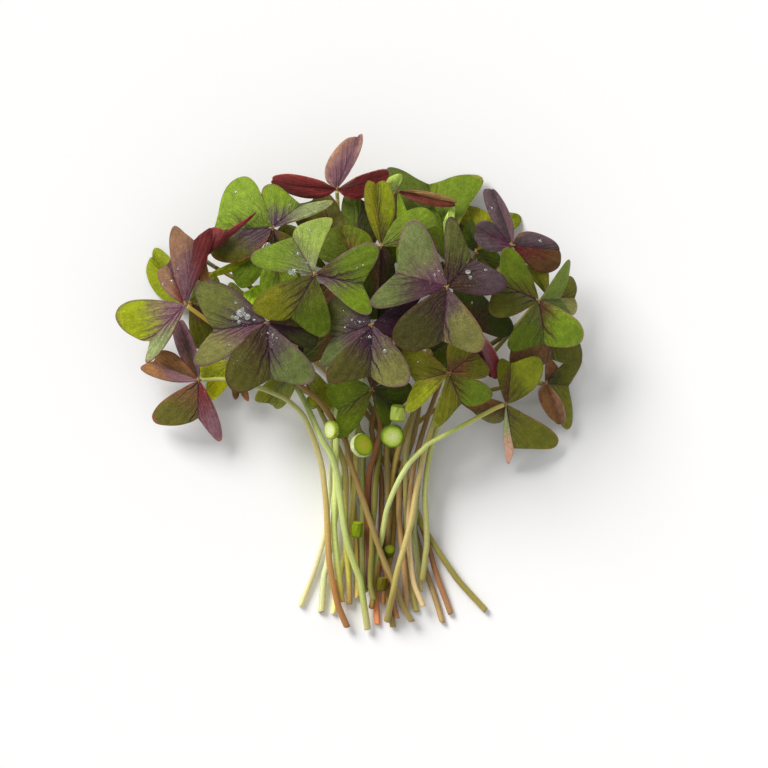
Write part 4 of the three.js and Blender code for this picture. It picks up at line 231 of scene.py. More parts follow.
# leaf: for each leaflet its A half and its B half, as
# "tip core vein rim  reach of the core, strength of the veins, strength of the rim, brightness"
# The tints and the brightness hold painted light and shade as well as each half's own colour: halves turned away from
# the light or lying under others are painted darker, and halves that lie in shade are painted lighter so that they look
# lit.
LOOK = {
    "leaf_01": [("wine maroon blood rust .5 .3 .5 1.81", "maroon wine blood maroon .5 .3 .4 2.02"),
                ("wine mauve maroon rose .5 .3 .5 2.1", "wine wine blood rust .5 .3 .4 2.57"),
                ("fawn mauve plum rose .95 .6 .6 1.37", "rose mauve plum rose 1 .5 .6 2.06")],
    "leaf_02": [("fresh leaf ink olive .5 .8 .3 1.04", "moss ash ink rust .7 .9 .8 1.06"),
                ("leaf ash ink brown .5 .9 .6 1.21", "frost ash ink tan .5 .9 .5 1.54"),
                ("moss umber ink brown .5 .8 .4 0.48", "moss umber ink brown .5 .8 .4 1.41")],
    "leaf_03": [("lime mauve plum plum .55 .9 .6 1.24", "frost mauve plum wine .5 1 .9 1.65"),
                ("fawn mauve wine brown .8 .4 .4 0.92", "wine mauve maroon wine .55 .4 .5 1.09"),
                ("fawn wine maroon mauve .4 .4 .4 0.99", "mauve wine maroon mauve .5 .4 .5 .9")],
    "leaf_04": [("brown mauve umber plum .75 .6 .8 1.99", "brown umber umber wine .6 .6 .7 1.74"),
                ("mauve umber ink ink .7 .6 .5 1.49", "mauve slate ink ink .6 .6 .5 2.77"),
                ("drab brown ink rust .6 1 .7 1.1", "mauve wine maroon rust .5 .6 .5 1.98")],
    "leaf_05": [("olive ash ink plum .52 1 .9 .9", "khaki mauve plum mauve .67 1 .9 1.03"),
                ("drab umber ink umber .52 1 .7 0.73", "sage ash ink mauve .57 1 .9 1.1"),
                ("moss umber ink plum .5 .6 .5 1.26", "olive plum ink plum .7 .6 .5 0.34")],
    "leaf_06": [("fresh frost plum mauve .45 .8 .4 0.84", "pale frost mauve tan .4 .5 .4 0.97"),
                ("leaf umber ink mauve .4 1 .7 0.89", "leaf ash ink mauve .4 1 .6 1.45"),
                ("citron moss cocoa drab .6 1 .5 0.65", "grass moss ink olive .5 1 .5 .92")],
    "leaf_07": [("olive ash ink mauve .67 .8 .6 .75", "sage mauve ink mauve .7 .8 .7 0.86"),
                ("drab plum ink brown .57 1 .7 0.65", "khaki ash ink mauve .57 1 .8 1.25"),
                ("plum plum ink plum .8 .5 .5 0.37", "plum plum ink plum .8 .5 .5 .5")],
    "leaf_08": [("sage mauve plum mauve .52 1 .9 0.93", "sage plum plum mauve .67 .9 .9 0.91"),
                ("olive umber ink plum .57 1 .8 0.64", "ash umber ink plum .57 1 .7 .85"),
                ("drab umber plum brown .57 1 .8 0.44", "khaki ash plum fawn .47 1 .8 1.06")],
    "leaf_09": [("grass moss cocoa drab .4 .9 .6 1.05", "moss olive ink brown .4 1 .6 0.95"),
                ("leaf leaf ash ash .4 .6 .4 1.43", "leaf olive ash tan .4 .5 .4 0.82"),
                ("grass olive ink drab .45 1 .5 0.92", "fresh umber cocoa tan .4 1 .5 1.38")],
    "leaf_10": [("ash slate ink plum .6 .5 .6 1.04", "ash mauve ink plum .6 .5 .6 1.45"),
                ("slate plum plum mauve .5 .5 .6 1.04", "slate plum plum ash .5 .5 .6 1.5"),
                ("ash slate ink brown .5 .6 .7 .92", "brown wine blood maroon .5 .3 .4 1.35")],
    "leaf_11": [("citron citron cocoa brown .5 .9 .5 0.82", "lime moss cocoa brown .5 .9 .5 0.98"),
                ("leaf leaf plum leaf .4 .8 .3 1.14", "grass olive ink leaf .5 .8 .3 2.04"),
                ("deep umber ink umber .6 .6 .4 1.87", "deep umber ink umber .6 .6 .4 0.51")],
    "leaf_12": [("moss moss cocoa brown .6 1 .6 1.83", "olivine moss brown tan .4 .8 .4 2.01"),
                ("moss umber cocoa brown .6 1 .6 2.06", "moss brown cocoa brown .6 1 .6 1.52"),
                ("moss moss cocoa olive .5 1 .5 1.71", "leaf moss cocoa brown .45 1 .5 1.29")],
    "leaf_13": [("moss umber cocoa umber .6 .8 .5 1.71", "olivine moss cocoa drab .45 1 .5 1.41"),
                ("umber umber ink umber .6 .6 .5 3.7", "drab umber ink umber .6 .6 .5 1.57"),
                ("moss moss ink brown .4 1 .6 1.85", "rose frost plum mauve .7 .4 .5 2.54")],
    "leaf_14": [("brown umber ink brown .5 .5 .5 1.63", "brown umber ink fawn .5 .5 .5 .9"),
                ("brown brown wine rose .5 .3 .5 1.39", "fawn brown wine rose .5 .3 .5 1.28"),
                ("moss deep ink brown .5 .6 .5 1.37", "moss moss ink brown .4 .6 .4 1.89")],
    "leaf_15": [("moss umber cocoa brown .5 .7 .5 1.41", "khaki sage cocoa brown .5 .7 .5 1.7"),
                ("moss deep ink deep .5 .6 .4 2.74", "moss moss ink deep .5 .6 .4 2.89"),
                ("umber umber ink umber .5 .6 .5 2.51", "moss umber ink brown .5 .6 .5 1.08")],
    "leaf_16": [("grass moss ink ash .5 .7 .5 0.85", "leaf leaf moss tan .4 .7 .3 1.1"),
                ("grass grass deep fresh .4 .3 .3 0.91", "pale frost leaf pale .4 .3 .3 2"),
                ("grass deep ink olive .5 .5 .4 .8", "deep deep ink olive .5 .5 .4 .8")],
    "leaf_17": [("grass grass ink moss .5 .6 .3 1.49", "grass moss ink moss .5 .7 .3 1.47"),
                ("deep shade ink shade .5 .5 .3 1.67", "deep shade ink shade .5 .5 .3 1.97"),
                ("deep umber ink umber .6 .5 .3 1.25", "deep umber ink umber .6 .5 .3 1.6")],
    "leaf_18": [("tan brown maroon fawn .5 .4 .6 1.18", "rust wine maroon rust .5 .4 .5 0.82"),
                ("pale frost leaf pale .4 .3 .3 1.72", "pale frost leaf tan .4 .3 .3 1.1"),
                ("deep umber ink shade .5 .5 .3 1.56", "fresh fresh ink leaf .5 .5 .3 1.9")],
    "leaf_19": [("wine maroon blood rust .6 .4 .6 1.24", "wine maroon blood rust .6 .4 .7 1.43"),
                ("umber maroon blood wine .6 .4 .5 1.2", "brown umber blood wine .6 .4 .5 3.84")],
    "leaf_20": [("lime leaf moss olivine .4 .5 .3 1.13", "lime leaf moss olivine .5 .5 .3 .9"),
                ("moss umber umber drab .45 .6 .5 1.26", "moss blood umber drab .45 .6 .5 .8"),
                ("moss moss moss grass .5 .5 .4 1.42", "grass moss moss grass .5 .5 .4 .85")],
    "leaf_21": [("olivine drab moss olivine .5 .5 .3 2.65", "citron grass moss olivine .4 .5 .3 2.88"),
                ("brown umber umber rust .5 .4 .6 .95", "brown umber umber rust .5 .4 .6 2"),
                ("olive umber moss grass .5 .5 .4 2.2", "fresh frost moss grass .5 .5 .4 4.02")],
    "leaf_22": [("moss sage ink olive .5 .5 .4 2.01", "olive sage ink olive .5 .5 .4 2.33"),
                ("ash sage ink ash .5 .5 .4 .85", "moss olive ink ash .5 .5 .4 3.19"),
                ("deep shade ink shade .5 .5 .4 .8", "umber deep ink umber .5 .5 .4 1.74")],
    "leaf_23": [("lime fresh moss khaki .4 .5 .5 1.55", "fresh grass grass leaf .5 .4 .3 .95"),
                ("leaf moss ink grass .5 .5 .3 1.15", "leaf moss ink grass .5 .5 .3 1.5"),
                ("moss moss ink umber .5 .5 .4 1.99", "deep umber ink umber .5 .5 .4 1.15")],
    "leaf_24": [("grass grass brown drab .4 .7 .5 .85", "grass moss brown brown .5 .9 .7 1.34"),
                ("grass moss ink brown .5 .6 .5 0.84", "shade shade ink brown .5 .6 .5 1.15"),
                ("moss umber umber brown .4 .5 .4 0.88", "drab umber umber brown .5 .6 .6 0.89")],
    "leaf_25": [("grass deep ink deep .5 .5 .3 0.7", "grass deep ink deep .5 .5 .3 0.66"),
                ("citron moss brown brown .5 .6 .7 1.16", "lime citron brown olivine .5 .5 .4 0.76"),
                ("deep shade ink shade .5 .5 .4 1.22", "deep shade ink shade .5 .5 .4 2.04")],
    "leaf_26": [("wine mauve maroon rose .6 .4 .8 .95", "wine mauve maroon rose .6 .4 .9 1.93"),
                ("deep umber ink umber .5 .5 .3 0.99", "deep umber ink umber .5 .5 .3 .95"),
                ("deep umber ink umber .5 .5 .3 1.06", "deep umber ink umber .5 .5 .3 2.62")],
}

# what the hidden side of a half looks like, by its tip tint
BACK = {"wine": "brown", "maroon": "brown", "rust": "olive", "mauve": "drab", "fawn": "grass",
        "rose": "grass", "slate": "wine", "ash": "wine", "brown": "wine", "umber": "wine",
        "tan": "mauve", "drab": "mauve", "olive": "mauve", "sage": "mauve", "khaki": "mauve"}

# stalk: tints along it, from the cut end (0) to the leaf (1)
STALK = {
    "stem_01": [(0, (206, 176, 126)), (.2, (170, 150, 92)), (.6, (128, 128, 62)), (1, (172, 168, 96))],
    "stem_02": [(0, (150, 150, 84)), (.3, (156, 164, 84)), (1, (140, 140, 70))],
    "stem_03": [(0, (172, 132, 92)), (.25, (164, 120, 78)), (.55, (148, 98, 62)), (.85, (158, 120, 66)), (1, (190, 140, 56))],
    "stem_04": [(0, (150, 92, 62)), (.12, (164, 98, 60)), (.34, (178, 132, 84)), (.5, (186, 176, 110)), (.8, (162, 172, 92)), (1, (150, 150, 70))],
    "stem_05": [(0, (184, 180, 112)), (.1, (172, 184, 96)), (.5, (182, 198, 112)), (1, (158, 176, 92))],
    "stem_06": [(0, (196, 176, 130)), (.06, (192, 184, 136)), (.25, (190, 196, 146)), (1, (166, 170, 110))],
    "stem_07": [(0, (186, 186, 126)), (.1, (186, 196, 136)), (.5, (192, 200, 146)), (1, (162, 172, 104))],
    "stem_08": [(0, (160, 142, 88)), (.2, (150, 146, 84)), (.6, (132, 122, 66)), (1, (176, 132, 60))],
    "stem_09": [(0, (196, 190, 124)), (.15, (176, 188, 116)), (.5, (150, 160, 84)), (1, (150, 130, 60))],
    "stem_10": [(0, (176, 96, 72)), (.08, (160, 96, 62)), (.3, (140, 104, 60)), (1, (130, 104, 58))],
    "stem_11": [(0, (176, 132, 90)), (.15, (160, 116, 76)), (.5, (130, 98, 56)), (1, (150, 120, 60))],
    "stem_12": [(0, (168, 132, 84)), (.15, (178, 152, 92)), (.3, (206, 176, 124)), (.6, (210, 178, 132)), (.8, (176, 158, 96)), (1, (160, 140, 70))],
    "stem_13": [(0, (150, 100, 60)), (.1, (150, 128, 68)), (.2, (170, 180, 98)), (.5, (192, 206, 122)), (.85, (176, 186, 86)), (1, (190, 150, 86))],
    "stem_14": [(0, (170, 104, 70)), (.15, (150, 108, 60)), (.5, (128, 106, 48)), (1, (130, 104, 52))],
    "stem_15": [(0, (168, 150, 90)), (.1, (156, 140, 74)), (.4, (140, 122, 62)), (1, (120, 104, 50))],
    "stem_16": [(0, (204, 150, 118)), (.1, (190, 132, 100)), (.4, (150, 108, 72)), (1, (140, 130, 62))],
    "stem_17": [(0, (140, 72, 54)), (.15, (118, 56, 42)), (.5, (112, 58, 42)), (1, (126, 84, 44))],
    "stem_18": [(0, (176, 108, 80)), (.15, (150, 92, 64)), (.5, (128, 90, 52)), (1, (150, 130, 66))],
    "stem_19": [(0, (204, 150, 116)), (.1, (176, 128, 88)), (.3, (140, 112, 64)), (1, (140, 100, 56))],
    "stem_20": [(0, (168, 110, 84)), (.1, (150, 88, 66)), (.3, (140, 100, 66)), (1, (130, 110, 56))],
    "stem_21": [(0, (158, 122, 74)), (.05, (150, 120, 66)), (.3, (138, 122, 68)), (1, (140, 120, 60))],
    "stem_22": [(0, (150, 100, 62)), (.12, (168, 150, 80)), (.5, (158, 148, 76)), (1, (120, 120, 58))],
    "stem_23": [(0, (160, 120, 70)), (.2, (134, 100, 52)), (1, (116, 92, 50))],
    "stem_24": [(0, (150, 112, 62)), (.05, (172, 150, 84)), (.14, (176, 190, 104)), (.6, (182, 198, 112)), (1, (160, 170, 92))],
    "stem_25": [(0, (226, 186, 152)), (.15, (222, 182, 148)), (.35, (168, 116, 86)), (1, (132, 96, 60))],
    "stem_26": [(0, (150, 132, 78)), (.1, (164, 164, 94)), (.5, (168, 178, 98)), (1, (140, 150, 74))],
}

# water on the leaves: picture column and row it sits under, and its radius, in picture pixels
DROPS = [(268, 245, 3.2), (310, 230, 1.6), (294, 272, 3.2), (290.5, 272.5, 2.4), (298, 254, 1.6), (307, 263, 1.3),
         (241, 313, 4.6), (247.5, 317, 3.2), (236.5, 318, 2.6), (243, 309.5, 1.8), (239, 322, 2.0), (232.5, 317, 1.5),
         (236, 303, 1.5), (254, 320, 1.5), (230, 345, 1.6), (273, 335, 1.6), (277, 338, 1.3), (268, 333, 1.2),
         (360, 322, 1.4), (370, 337, 1.6), (385, 351, 2.0), (352, 320, 1.4), (345, 327, 1.2),
         (468, 272, 2.6), (470.5, 277.5, 2.0), (486, 270, 1.6), (435, 275, 1.4), (439, 271, 1.2),
         (178, 269, 1.4), (163, 284, 1.6), (172, 281, 1.6), (472, 303, 1.4), (540, 241, 1.6), (236, 192, 1.6),
         (290, 205, 1.3), (492, 208, 1.2), (418, 362, 1.1), (363, 265, 1.2), (357, 268, 1.0)]

# painted light and shade: a gain on each stalk's colour, above 1 so that a stalk lying in shade looks lit, below 1 to
# darken it
STALK_PAINTED_LIGHT = {
    "stem_01": 2.05, "stem_02": 1.2, "stem_04": 1.35, "stem_05": 1.3, "stem_06": 1.7, "stem_07": 1.5, "stem_08": 1.5,
    "stem_10": 2.1, "stem_13": 1.3, "stem_15": 0.78, "stem_16": 1.08, "stem_19": 0.9, "stem_14": 1.9, "stem_17": 1.5, "stem_18": 1.1, "stem_20": 1.3, "stem_21": 1.2,
    "stem_22": 1.6, "stem_23": 2.5, "stem_24": 1.8, "stem_25": 1.2, "stem_26": 1.35,
}

MM_PER_PX = 0.4
CENTRE = (13.62, -0.51)      # what the middle of the picture looks at, in millimetres


def place(col, row):
    return CENTRE[0] + (col - 384) * MM_PER_PX, CENTRE[1] + (384 - row) * MM_PER_PX


def lin(rgb):
    out = []
    for c in rgb:
        c = c / 255.0
        out.append(c / 12.92 if c <= 0.04045 else ((c + 0.055) / 1.055) ** 2.4)
    return np.array(out)


# ---------------------------------------------------------------- outline of half a leaflet
HEART = np.array([(0, 0), (0.10, 0.135), (0.25, 0.315), (0.5, 0.60), (0.75, 0.84), (0.98, 0.985), (1.12, 1.0),
                  (1.21, 0.93), (1.235, 0.80), (1.19, 0.57), (1.11, 0.32), (1.04, 0.12), (1.0, 0.0)])
OVAL = np.array([(0, 0), (0.07, 0.16), (0.22, 0.47), (0.40, 0.76), (0.60, 0.95), (0.75, 1.0), (0.90, 0.95),
                 (1.01, 0.80), (1.07, 0.58), (1.08, 0.36), (1.05, 0.15), (1.0, 0.0)])
BULGE = np.array([(0, 0), (0.07, 0.19), (0.20, 0.43), (0.42, 0.73), (0.68, 0.93), (0.92, 1.0), (1.08, 0.96),
                  (1.18, 0.84), (1.20, 0.66), (1.16, 0.45), (1.10, 0.26), (1.04, 0.10), (1.0, 0.0)])
FULL = np.array([(0, 0), (0.09, 0.15), (0.24, 0.36), (0.48, 0.65), (0.74, 0.88), (0.98, 0.99), (1.12, 0.99),
                 (1.23, 0.91), (1.27, 0.74), (1.26, 0.52), (1.20, 0.31), (1.11, 0.12), (1.0, 0.0)])
NARROW = np.array([(0, 0), (0.12, 0.08), (0.28, 0.20), (0.52, 0.40), (0.78, 0.64), (1.0, 0.86), (1.13, 0.97),
                   (1.20, 1.0), (1.245, 0.92), (1.22, 0.70), (1.14, 0.42), (1.05, 0.17), (1.0, 0.0)])
TALL = np.array([(0, 0), (0.12, 0.08), (0.28, 0.20), (0.52, 0.40), (0.78, 0.64), (1.0, 0.86), (1.13, 0.97), (1.20, 1.0),
                 (1.26, 0.90), (1.295, 0.70), (1.295, 0.47), (1.255, 0.28), (1.17, 0.13), (1.07, 0.035), (1.0, 0.0)])
WIDEST = {"h": 1.12, "e": 0.75, "w": 0.92, "f": 1.05, "n": 1.2, "t": 1.2}


def through(points, steps):
    """A smooth curve through the points (Catmull-Rom)."""
    p = np.vstack([2 * points[0] - points[1], points, 2 * points[-1] - points[-2]])
    out = []
    for i in range(1, len(p) - 2):
        a, b, c, d = p[i - 1], p[i], p[i + 1], p[i + 2]
        for k in range(steps):
            x = k / steps
            out.append(0.5 * (2 * b + (c - a) * x + (2 * a - 5 * b + 4 * c - d) * x * x + (3 * b - a - 3 * c + d) * x ** 3))
    out.append(p[-2])
    return np.array(out)


CURVE = {"h": through(HEART, 12), "e": through(OVAL, 12), "w": through(BULGE, 12), "f": through(FULL, 12), "n": through(NARROW, 12), "t": through(TALL, 12)}
SHARE = {}
for _k, _c in CURVE.items():
    _d = np.r_[0, np.cumsum(np.linalg.norm(np.diff(_c, axis=0), axis=1))]
    SHARE[_k] = _d / _d[-1]


def outline(w, kind):
    return np.stack([np.interp(w, SHARE[kind], CURVE[kind][:, 0]), np.interp(w, SHARE[kind], CURVE[kind][:, 1])], -1)


def unit(v):
    return v / (np.linalg.norm(v, axis=-1, keepdims=True) + 1e-12)


def smooth(a, b, x):
    x = np.clip((x - a) / (b - a), 0, 1)
    return x * x * (3 - 2 * x)


ARCH = 0.055
CUP = 0.03
THICK = 0.34
US = np.concatenate([[0], np.linspace(0.018, 0.985, 42), [1]])
VS = np.array([0, .025, .06, .11, .18, .26, .35, .44, .53, .62, .71, .80, .87, .93, .97, 1.0])


def leaflet(H, N, A, B, kind, rng):
    """Points of one leaflet's middle surface on a grid, with what the shader and the thickness need."""
    e1 = N - H
    ka, kb = kind[0], kind[-1]
    a2, b2 = A - H - WIDEST[ka] * e1, B - H - WIDEST[kb] * e1
    na, nb = unit(np.cross(e1, a2)), unit(np.cross(b2, e1))
    nc = na + nb
    if np.linalg.norm(nc) < 0.3:
        nc = np.array([0, 0, 1.0]) if na[2] >= 0 else np.array([0, 0, -1.0])
    sg = 1.0 if nc[2] >= 0 else -1.0
    na, nb, nc = na * sg, nb * sg, sg * unit(nc)
    v = np.concatenate([-VS[:0:-1], VS])
    U, V = np.meshgrid(US, v, indexing="ij")
    W = np.abs(V)
    b = np.where((V < 0)[..., None], outline(U, ka), outline(U, kb))
    # a little life in the outline
    ph = rng.uniform(0, 2 * math.pi, 4)
    wob = 1 + W * (0.010 * np.sin(9 * U + ph[0] + (V < 0) * ph[1]) + 0.006 * np.sin(21 * U + ph[2])) * smooth(0.05, 0.3, U) * (1 - smooth(0.85, 1, U))
    s = (1 - W) * U + W * b[..., 0] * wob
    t = W * b[..., 1] * wob
    la, l2a, l2b = np.linalg.norm(e1), np.linalg.norm(a2), np.linalg.norm(b2)
    sc = np.clip(s, 0, 1.1)
    arch = ARCH * la * 4 * sc * (1.1 - sc) / 1.21
    inA = (V < 0)[..., None]
    e2 = np.where(inA, a2, b2)
    n = np.where(inA, na, nb)
    l2 = np.where(V < 0, l2a, l2b)
    cup = CUP * l2 * 4 * t * (1 - t)
    # soft quilting between the side veins, a slow wave and a lightly rolled margin
    m = 0.878 - 0.7 * s
    s0 = ((0.878 + 0.7 * s) - np.sqrt(np.clip((0.878 + 0.7 * s) ** 2 - 2.8 * (0.878 * s - t), 0, None))) / 1.4
    off = np.where(V < 0, ph[0], ph[3]) / (2 * math.pi) * 0.2
    quilt = 0.12 * np.cos(2 * math.pi * ((s0 + off) / 0.2 - 0.5)) * smooth(0.02, 0.2, t) * (1 - smooth(0.8, 1.0, W))
    wave = 0.26 * np.sin(5.1 * s + ph[1]) * np.sin(4.3 * t + ph[2] + (V < 0) * 1.3) * smooth(0.1, 0.5, s) * W
    roll = -0.34 * smooth(0.72, 1.0, W) ** 2 * smooth(0.12, 0.4, U) * (1 - smooth(0.9, 1.0, U)) * (0.6 + 0.4 * np.sin(6 * U + ph[3]))
    P = H + s[..., None] * e1 + t[..., None] * e2 + arch[..., None] * nc + (cup + quilt + wave + roll)[..., None] * n
    # blend the two halves' directions in the fold
    fold = np.exp(-(t * l2 / 0.5) ** 2)[..., None]
    nn = unit(n * (1 - 0.8 * fold) + nc * 0.8 * fold)
    return P, s, t, W, V, nn, l2, off, sg


class Mesh:
    """Collects points, faces and face-corner values for one Blender object."""

    def __init__(self):
        self.co, self.st, self.faces, self.vals, self.mat = [], [], [], [], []
        self.n = 0

    def points(self, co, st):
        self.co.append(np.asarray(co, float)); self.st.append(np.asarray(st, float))
        first = self.n
        self.n += len(co)
        return first

    def face(self, idx, val, mat=0):
        if len(set(idx)) < len(idx):
            idx = list(dict.fromkeys(idx))
            if len(idx) < 3:
                return
        self.faces.append(tuple(int(i) for i in idx)); self.vals.append(val); self.mat.append(mat)


def set_attr(me, name, kind, domain, data):
    a = me.attributes.new(name, kind, domain)
    field = {"FLOAT": "value", "FLOAT_VECTOR": "vector", "FLOAT_COLOR": "color"}[kind]
    a.data.foreach_set(field, np.asarray(data, np.float32).ravel())


def parse(style):
    w = style.split()
    tip, core, vein, rim = (lin(TINT[k]) for k in w[:4])
    # the brightness scales all four colours: partly the half's own tone, partly painted light and shade
    reach, va, ra, tone_and_painted_light = (float(x) for x in w[4:])
    return dict(tip=tip * tone_and_painted_light, core=core * tone_and_painted_light, vein=vein * tone_and_painted_light, rim=rim * tone_and_painted_light, amt=(reach, va, ra), key=w[0])


def backside(st, purple):
    key = BACK.get(st["key"])
    if key is None:
        tip = lin(TINT["fresh"]) * 0.55 + lin(TINT["frost"]) * 0.45
        if purple:
            tip = tip * 0.6 + lin(TINT["mauve"]) * 0.4
        core = lin(TINT["mauve"]) * 0.6 + lin(TINT["frost"]) * 0.4
    else:
        tip, core = lin(TINT[key]), lin(TINT[key]) * 0.8
    return dict(tip=tip, core=core, vein=core * 0.75, rim=tip * 0.8, amt=(0.35, 0.45, 0.4), key="back")


def build_leaf(name, hub, down, lets, looks, seed):
    rng = np.random.default_rng(seed)
    hub = np.array(hub, float)
    down = unit(np.array(down, float))
    M = Mesh()
    styles, dirs = [], []
    purple = any(w in " ".join(a + " " + b for a, b in looks) for w in ("plum", "mauve", "wine"))
    for (N, A, B, kind, hz), (sa, sb) in zip(lets, looks):
        H = hub + np.array([0, 0, hz])
        P, s, t, W, V, nn, l2, off, sg = leaflet(H, np.array(N), np.array(A), np.array(B), kind, rng)
        dirs.append(unit(P[3, len(VS) - 1] - H))
        R, C = P.shape[:2]
        mid = len(VS) - 1
        edge = smooth(0.8, 1.0, W)
        h = THICK * (1 - 0.45 * edge) * (0.55 + 0.45 * smooth(0, 0.15, s))
        groove = 0.10 * np.exp(-(t * l2 / 0.32) ** 2) * (1 - smooth(0.55, 1.0, s)) * smooth(0.02, 0.1, s)
        rib = 0.26 * np.exp(-(t * l2 / 0.38) ** 2) * (1 - smooth(0.5, 1.0, s))
        top = P + nn * (h / 2 - groove)[..., None]
        bot = P - nn * (h / 2 + rib)[..., None]
        st = np.stack([s, t, W], -1)
        # rim ring, pushed out a little so that the edge is round
        k = len(styles)
        for half, sty in ((0, sa), (1, sb)):
            q = parse(sty)
            q["off"] = float(off[5, 0] if half == 0 else off[5, -1])
            q["seed"] = float(rng.uniform(0, 50))
            styles.append(q)
        for half in (0, 1):
            q = backside(styles[k + half], purple)
            q["off"] = styles[k + half]["off"]; q["seed"] = styles[k + half]["seed"] + 7
            styles.append(q)

        def skin(grid, side):
            idx = np.empty((R, C), int)
            a = M.points([grid[0, mid]], [st[0, mid]])
            idx[0, :] = a
            for r in range(1, R - 1):
                idx[r, :] = M.points(grid[r], st[r]) + np.arange(C)
            z = M.points([grid[-1, mid]], [st[-1, mid]])
            idx[-1, :] = z
            flip = (sg > 0) == (side == 0)
            for r in range(R - 1):
                for c in range(C - 1):
                    half = 0 if c < mid else 1
                    f = [idx[r, c], idx[r, c + 1], idx[r + 1, c + 1], idx[r + 1, c]]
                    if not flip:
                        f = f[::-1]
                    M.face(f, k + half + (2 if side else 0))
            return idx
        it, ib = skin(top, 0), skin(bot, 1)
        for c, half, inner in ((0, 0, 1), (C - 1, 1, C - 2)):
            out = unit(P[1:-1, c] - P[1:-1, inner])
            ring = (top[1:-1, c] + bot[1:-1, c]) / 2 + out * 0.07
            ir = np.empty(R, int)
            ir[1:-1] = M.points(ring, st[1:-1, c]) + np.arange(R - 2)
            ir[0], ir[-1] = -1, -1
            for r in range(R - 1):
                lo_t, hi_t, lo_b, hi_b = it[r, c], it[r + 1, c], ib[r, c], ib[r + 1, c]
                flip = ((sg > 0) == (c == 0))
                if r == 0:
                    fs = [([lo_t, hi_t, ir[1]], 0), ([lo_t, ir[1], lo_b], 0), ([lo_b, ir[1], hi_b], 2)]
                elif r == R - 2:
                    fs = [([lo_t, hi_t, ir[r]], 0), ([ir[r], hi_t, hi_b], 0), ([ir[r], hi_b, lo_b], 2)]
                else:
                    fs = [([lo_t, hi_t, ir[r + 1], ir[r]], 0), ([ir[r], ir[r + 1], hi_b, lo_b], 2)]
                for f, sd in fs:
                    M.face(f if flip else f[::-1], k + half + sd)
    # knob with a short neck towards each leaflet and towards the stalk
    nth, nph = 20, 28
    th = np.linspace(0, math.pi, nth)
    ph = np.linspace(0, 2 * math.pi, nph, endpoint=False)
    T, F = np.meshgrid(th, ph, indexing="ij")
    D = np.stack([np.sin(T) * np.cos(F), np.sin(T) * np.sin(F), np.cos(T)], -1)
    r = 0.60 + 0.05 * np.sin(3 * F + seed) * np.sin(T)
    for d in dirs:
        r = r + 0.85 * np.clip(D @ d, 0, 1) ** 10
    r = r + 0.75 * np.clip(D @ down, 0, 1) ** 6
    K = hub + D * r[..., None] + np.array([0, 0, 0.12])
    hubval = len(styles)
    styles.append(dict(tip=lin((178, 116, 58)), core=lin((150, 86, 40)), vein=lin((120, 60, 30)), rim=lin((178, 116, 58)),
                       amt=(0.0, 0.0, 0.0), off=0, seed=0, key="hub"))
    ki = np.empty((nth, nph), int)
    ki[0] = M.points([K[0, 0]], [[0, 0, 0]])
    for j in range(1, nth - 1):
        ki[j] = M.points(K[j], np.zeros((nph, 3))) + np.arange(nph)
    ki[-1] = M.points([K[-1, 0]], [[0, 0, 0]])
    for j in range(nth - 1):
        for i in range(nph):
            i2 = (i + 1) % nph
            M.face([ki[j, i], ki[j + 1, i], ki[j + 1, i2], ki[j, i2]], hubval, 1)

    me = bpy.data.meshes.new(name + "_look")
    co = np.vstack(M.co)
    co[:, 2] = np.maximum(co[:, 2], 0.02)
    co = co * MM
    me.from_pydata(co.tolist(), [], M.faces)
    me.update()
    set_attr(me, "st", "FLOAT_VECTOR", "POINT", np.vstack(M.st))
    loops = np.array([len(f) for f in M.faces])
    vals = np.repeat(np.array(M.vals), loops)
    for key in ("tip", "core", "vein", "rim"):
        table = np.array([list(q[key]) + [1.0] for q in styles])
        set_attr(me, key, "FLOAT_COLOR", "CORNER", table[vals])
    set_attr(me, "amt", "FLOAT_VECTOR", "CORNER", np.array([q["amt"] for q in styles])[vals])
    set_attr(me, "aux", "FLOAT_VECTOR", "CORNER", np.array([(q["off"], q["seed"], 0.0) for q in styles])[vals])
    me.polygons.foreach_set("material_index", np.array(M.mat, np.int32))
    me.polygons.foreach_set("use_smooth", np.ones(len(M.faces), bool))
    me.materials.append(LEAF_MAT)
    me.materials.append(KNOB_MAT)
    me.update()
    ob = bpy.data.objects.new(name + "_look", me)
    bpy.context.scene.collection.objects.link(ob)
    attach(ob, "root")
    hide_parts(name)
    return ob


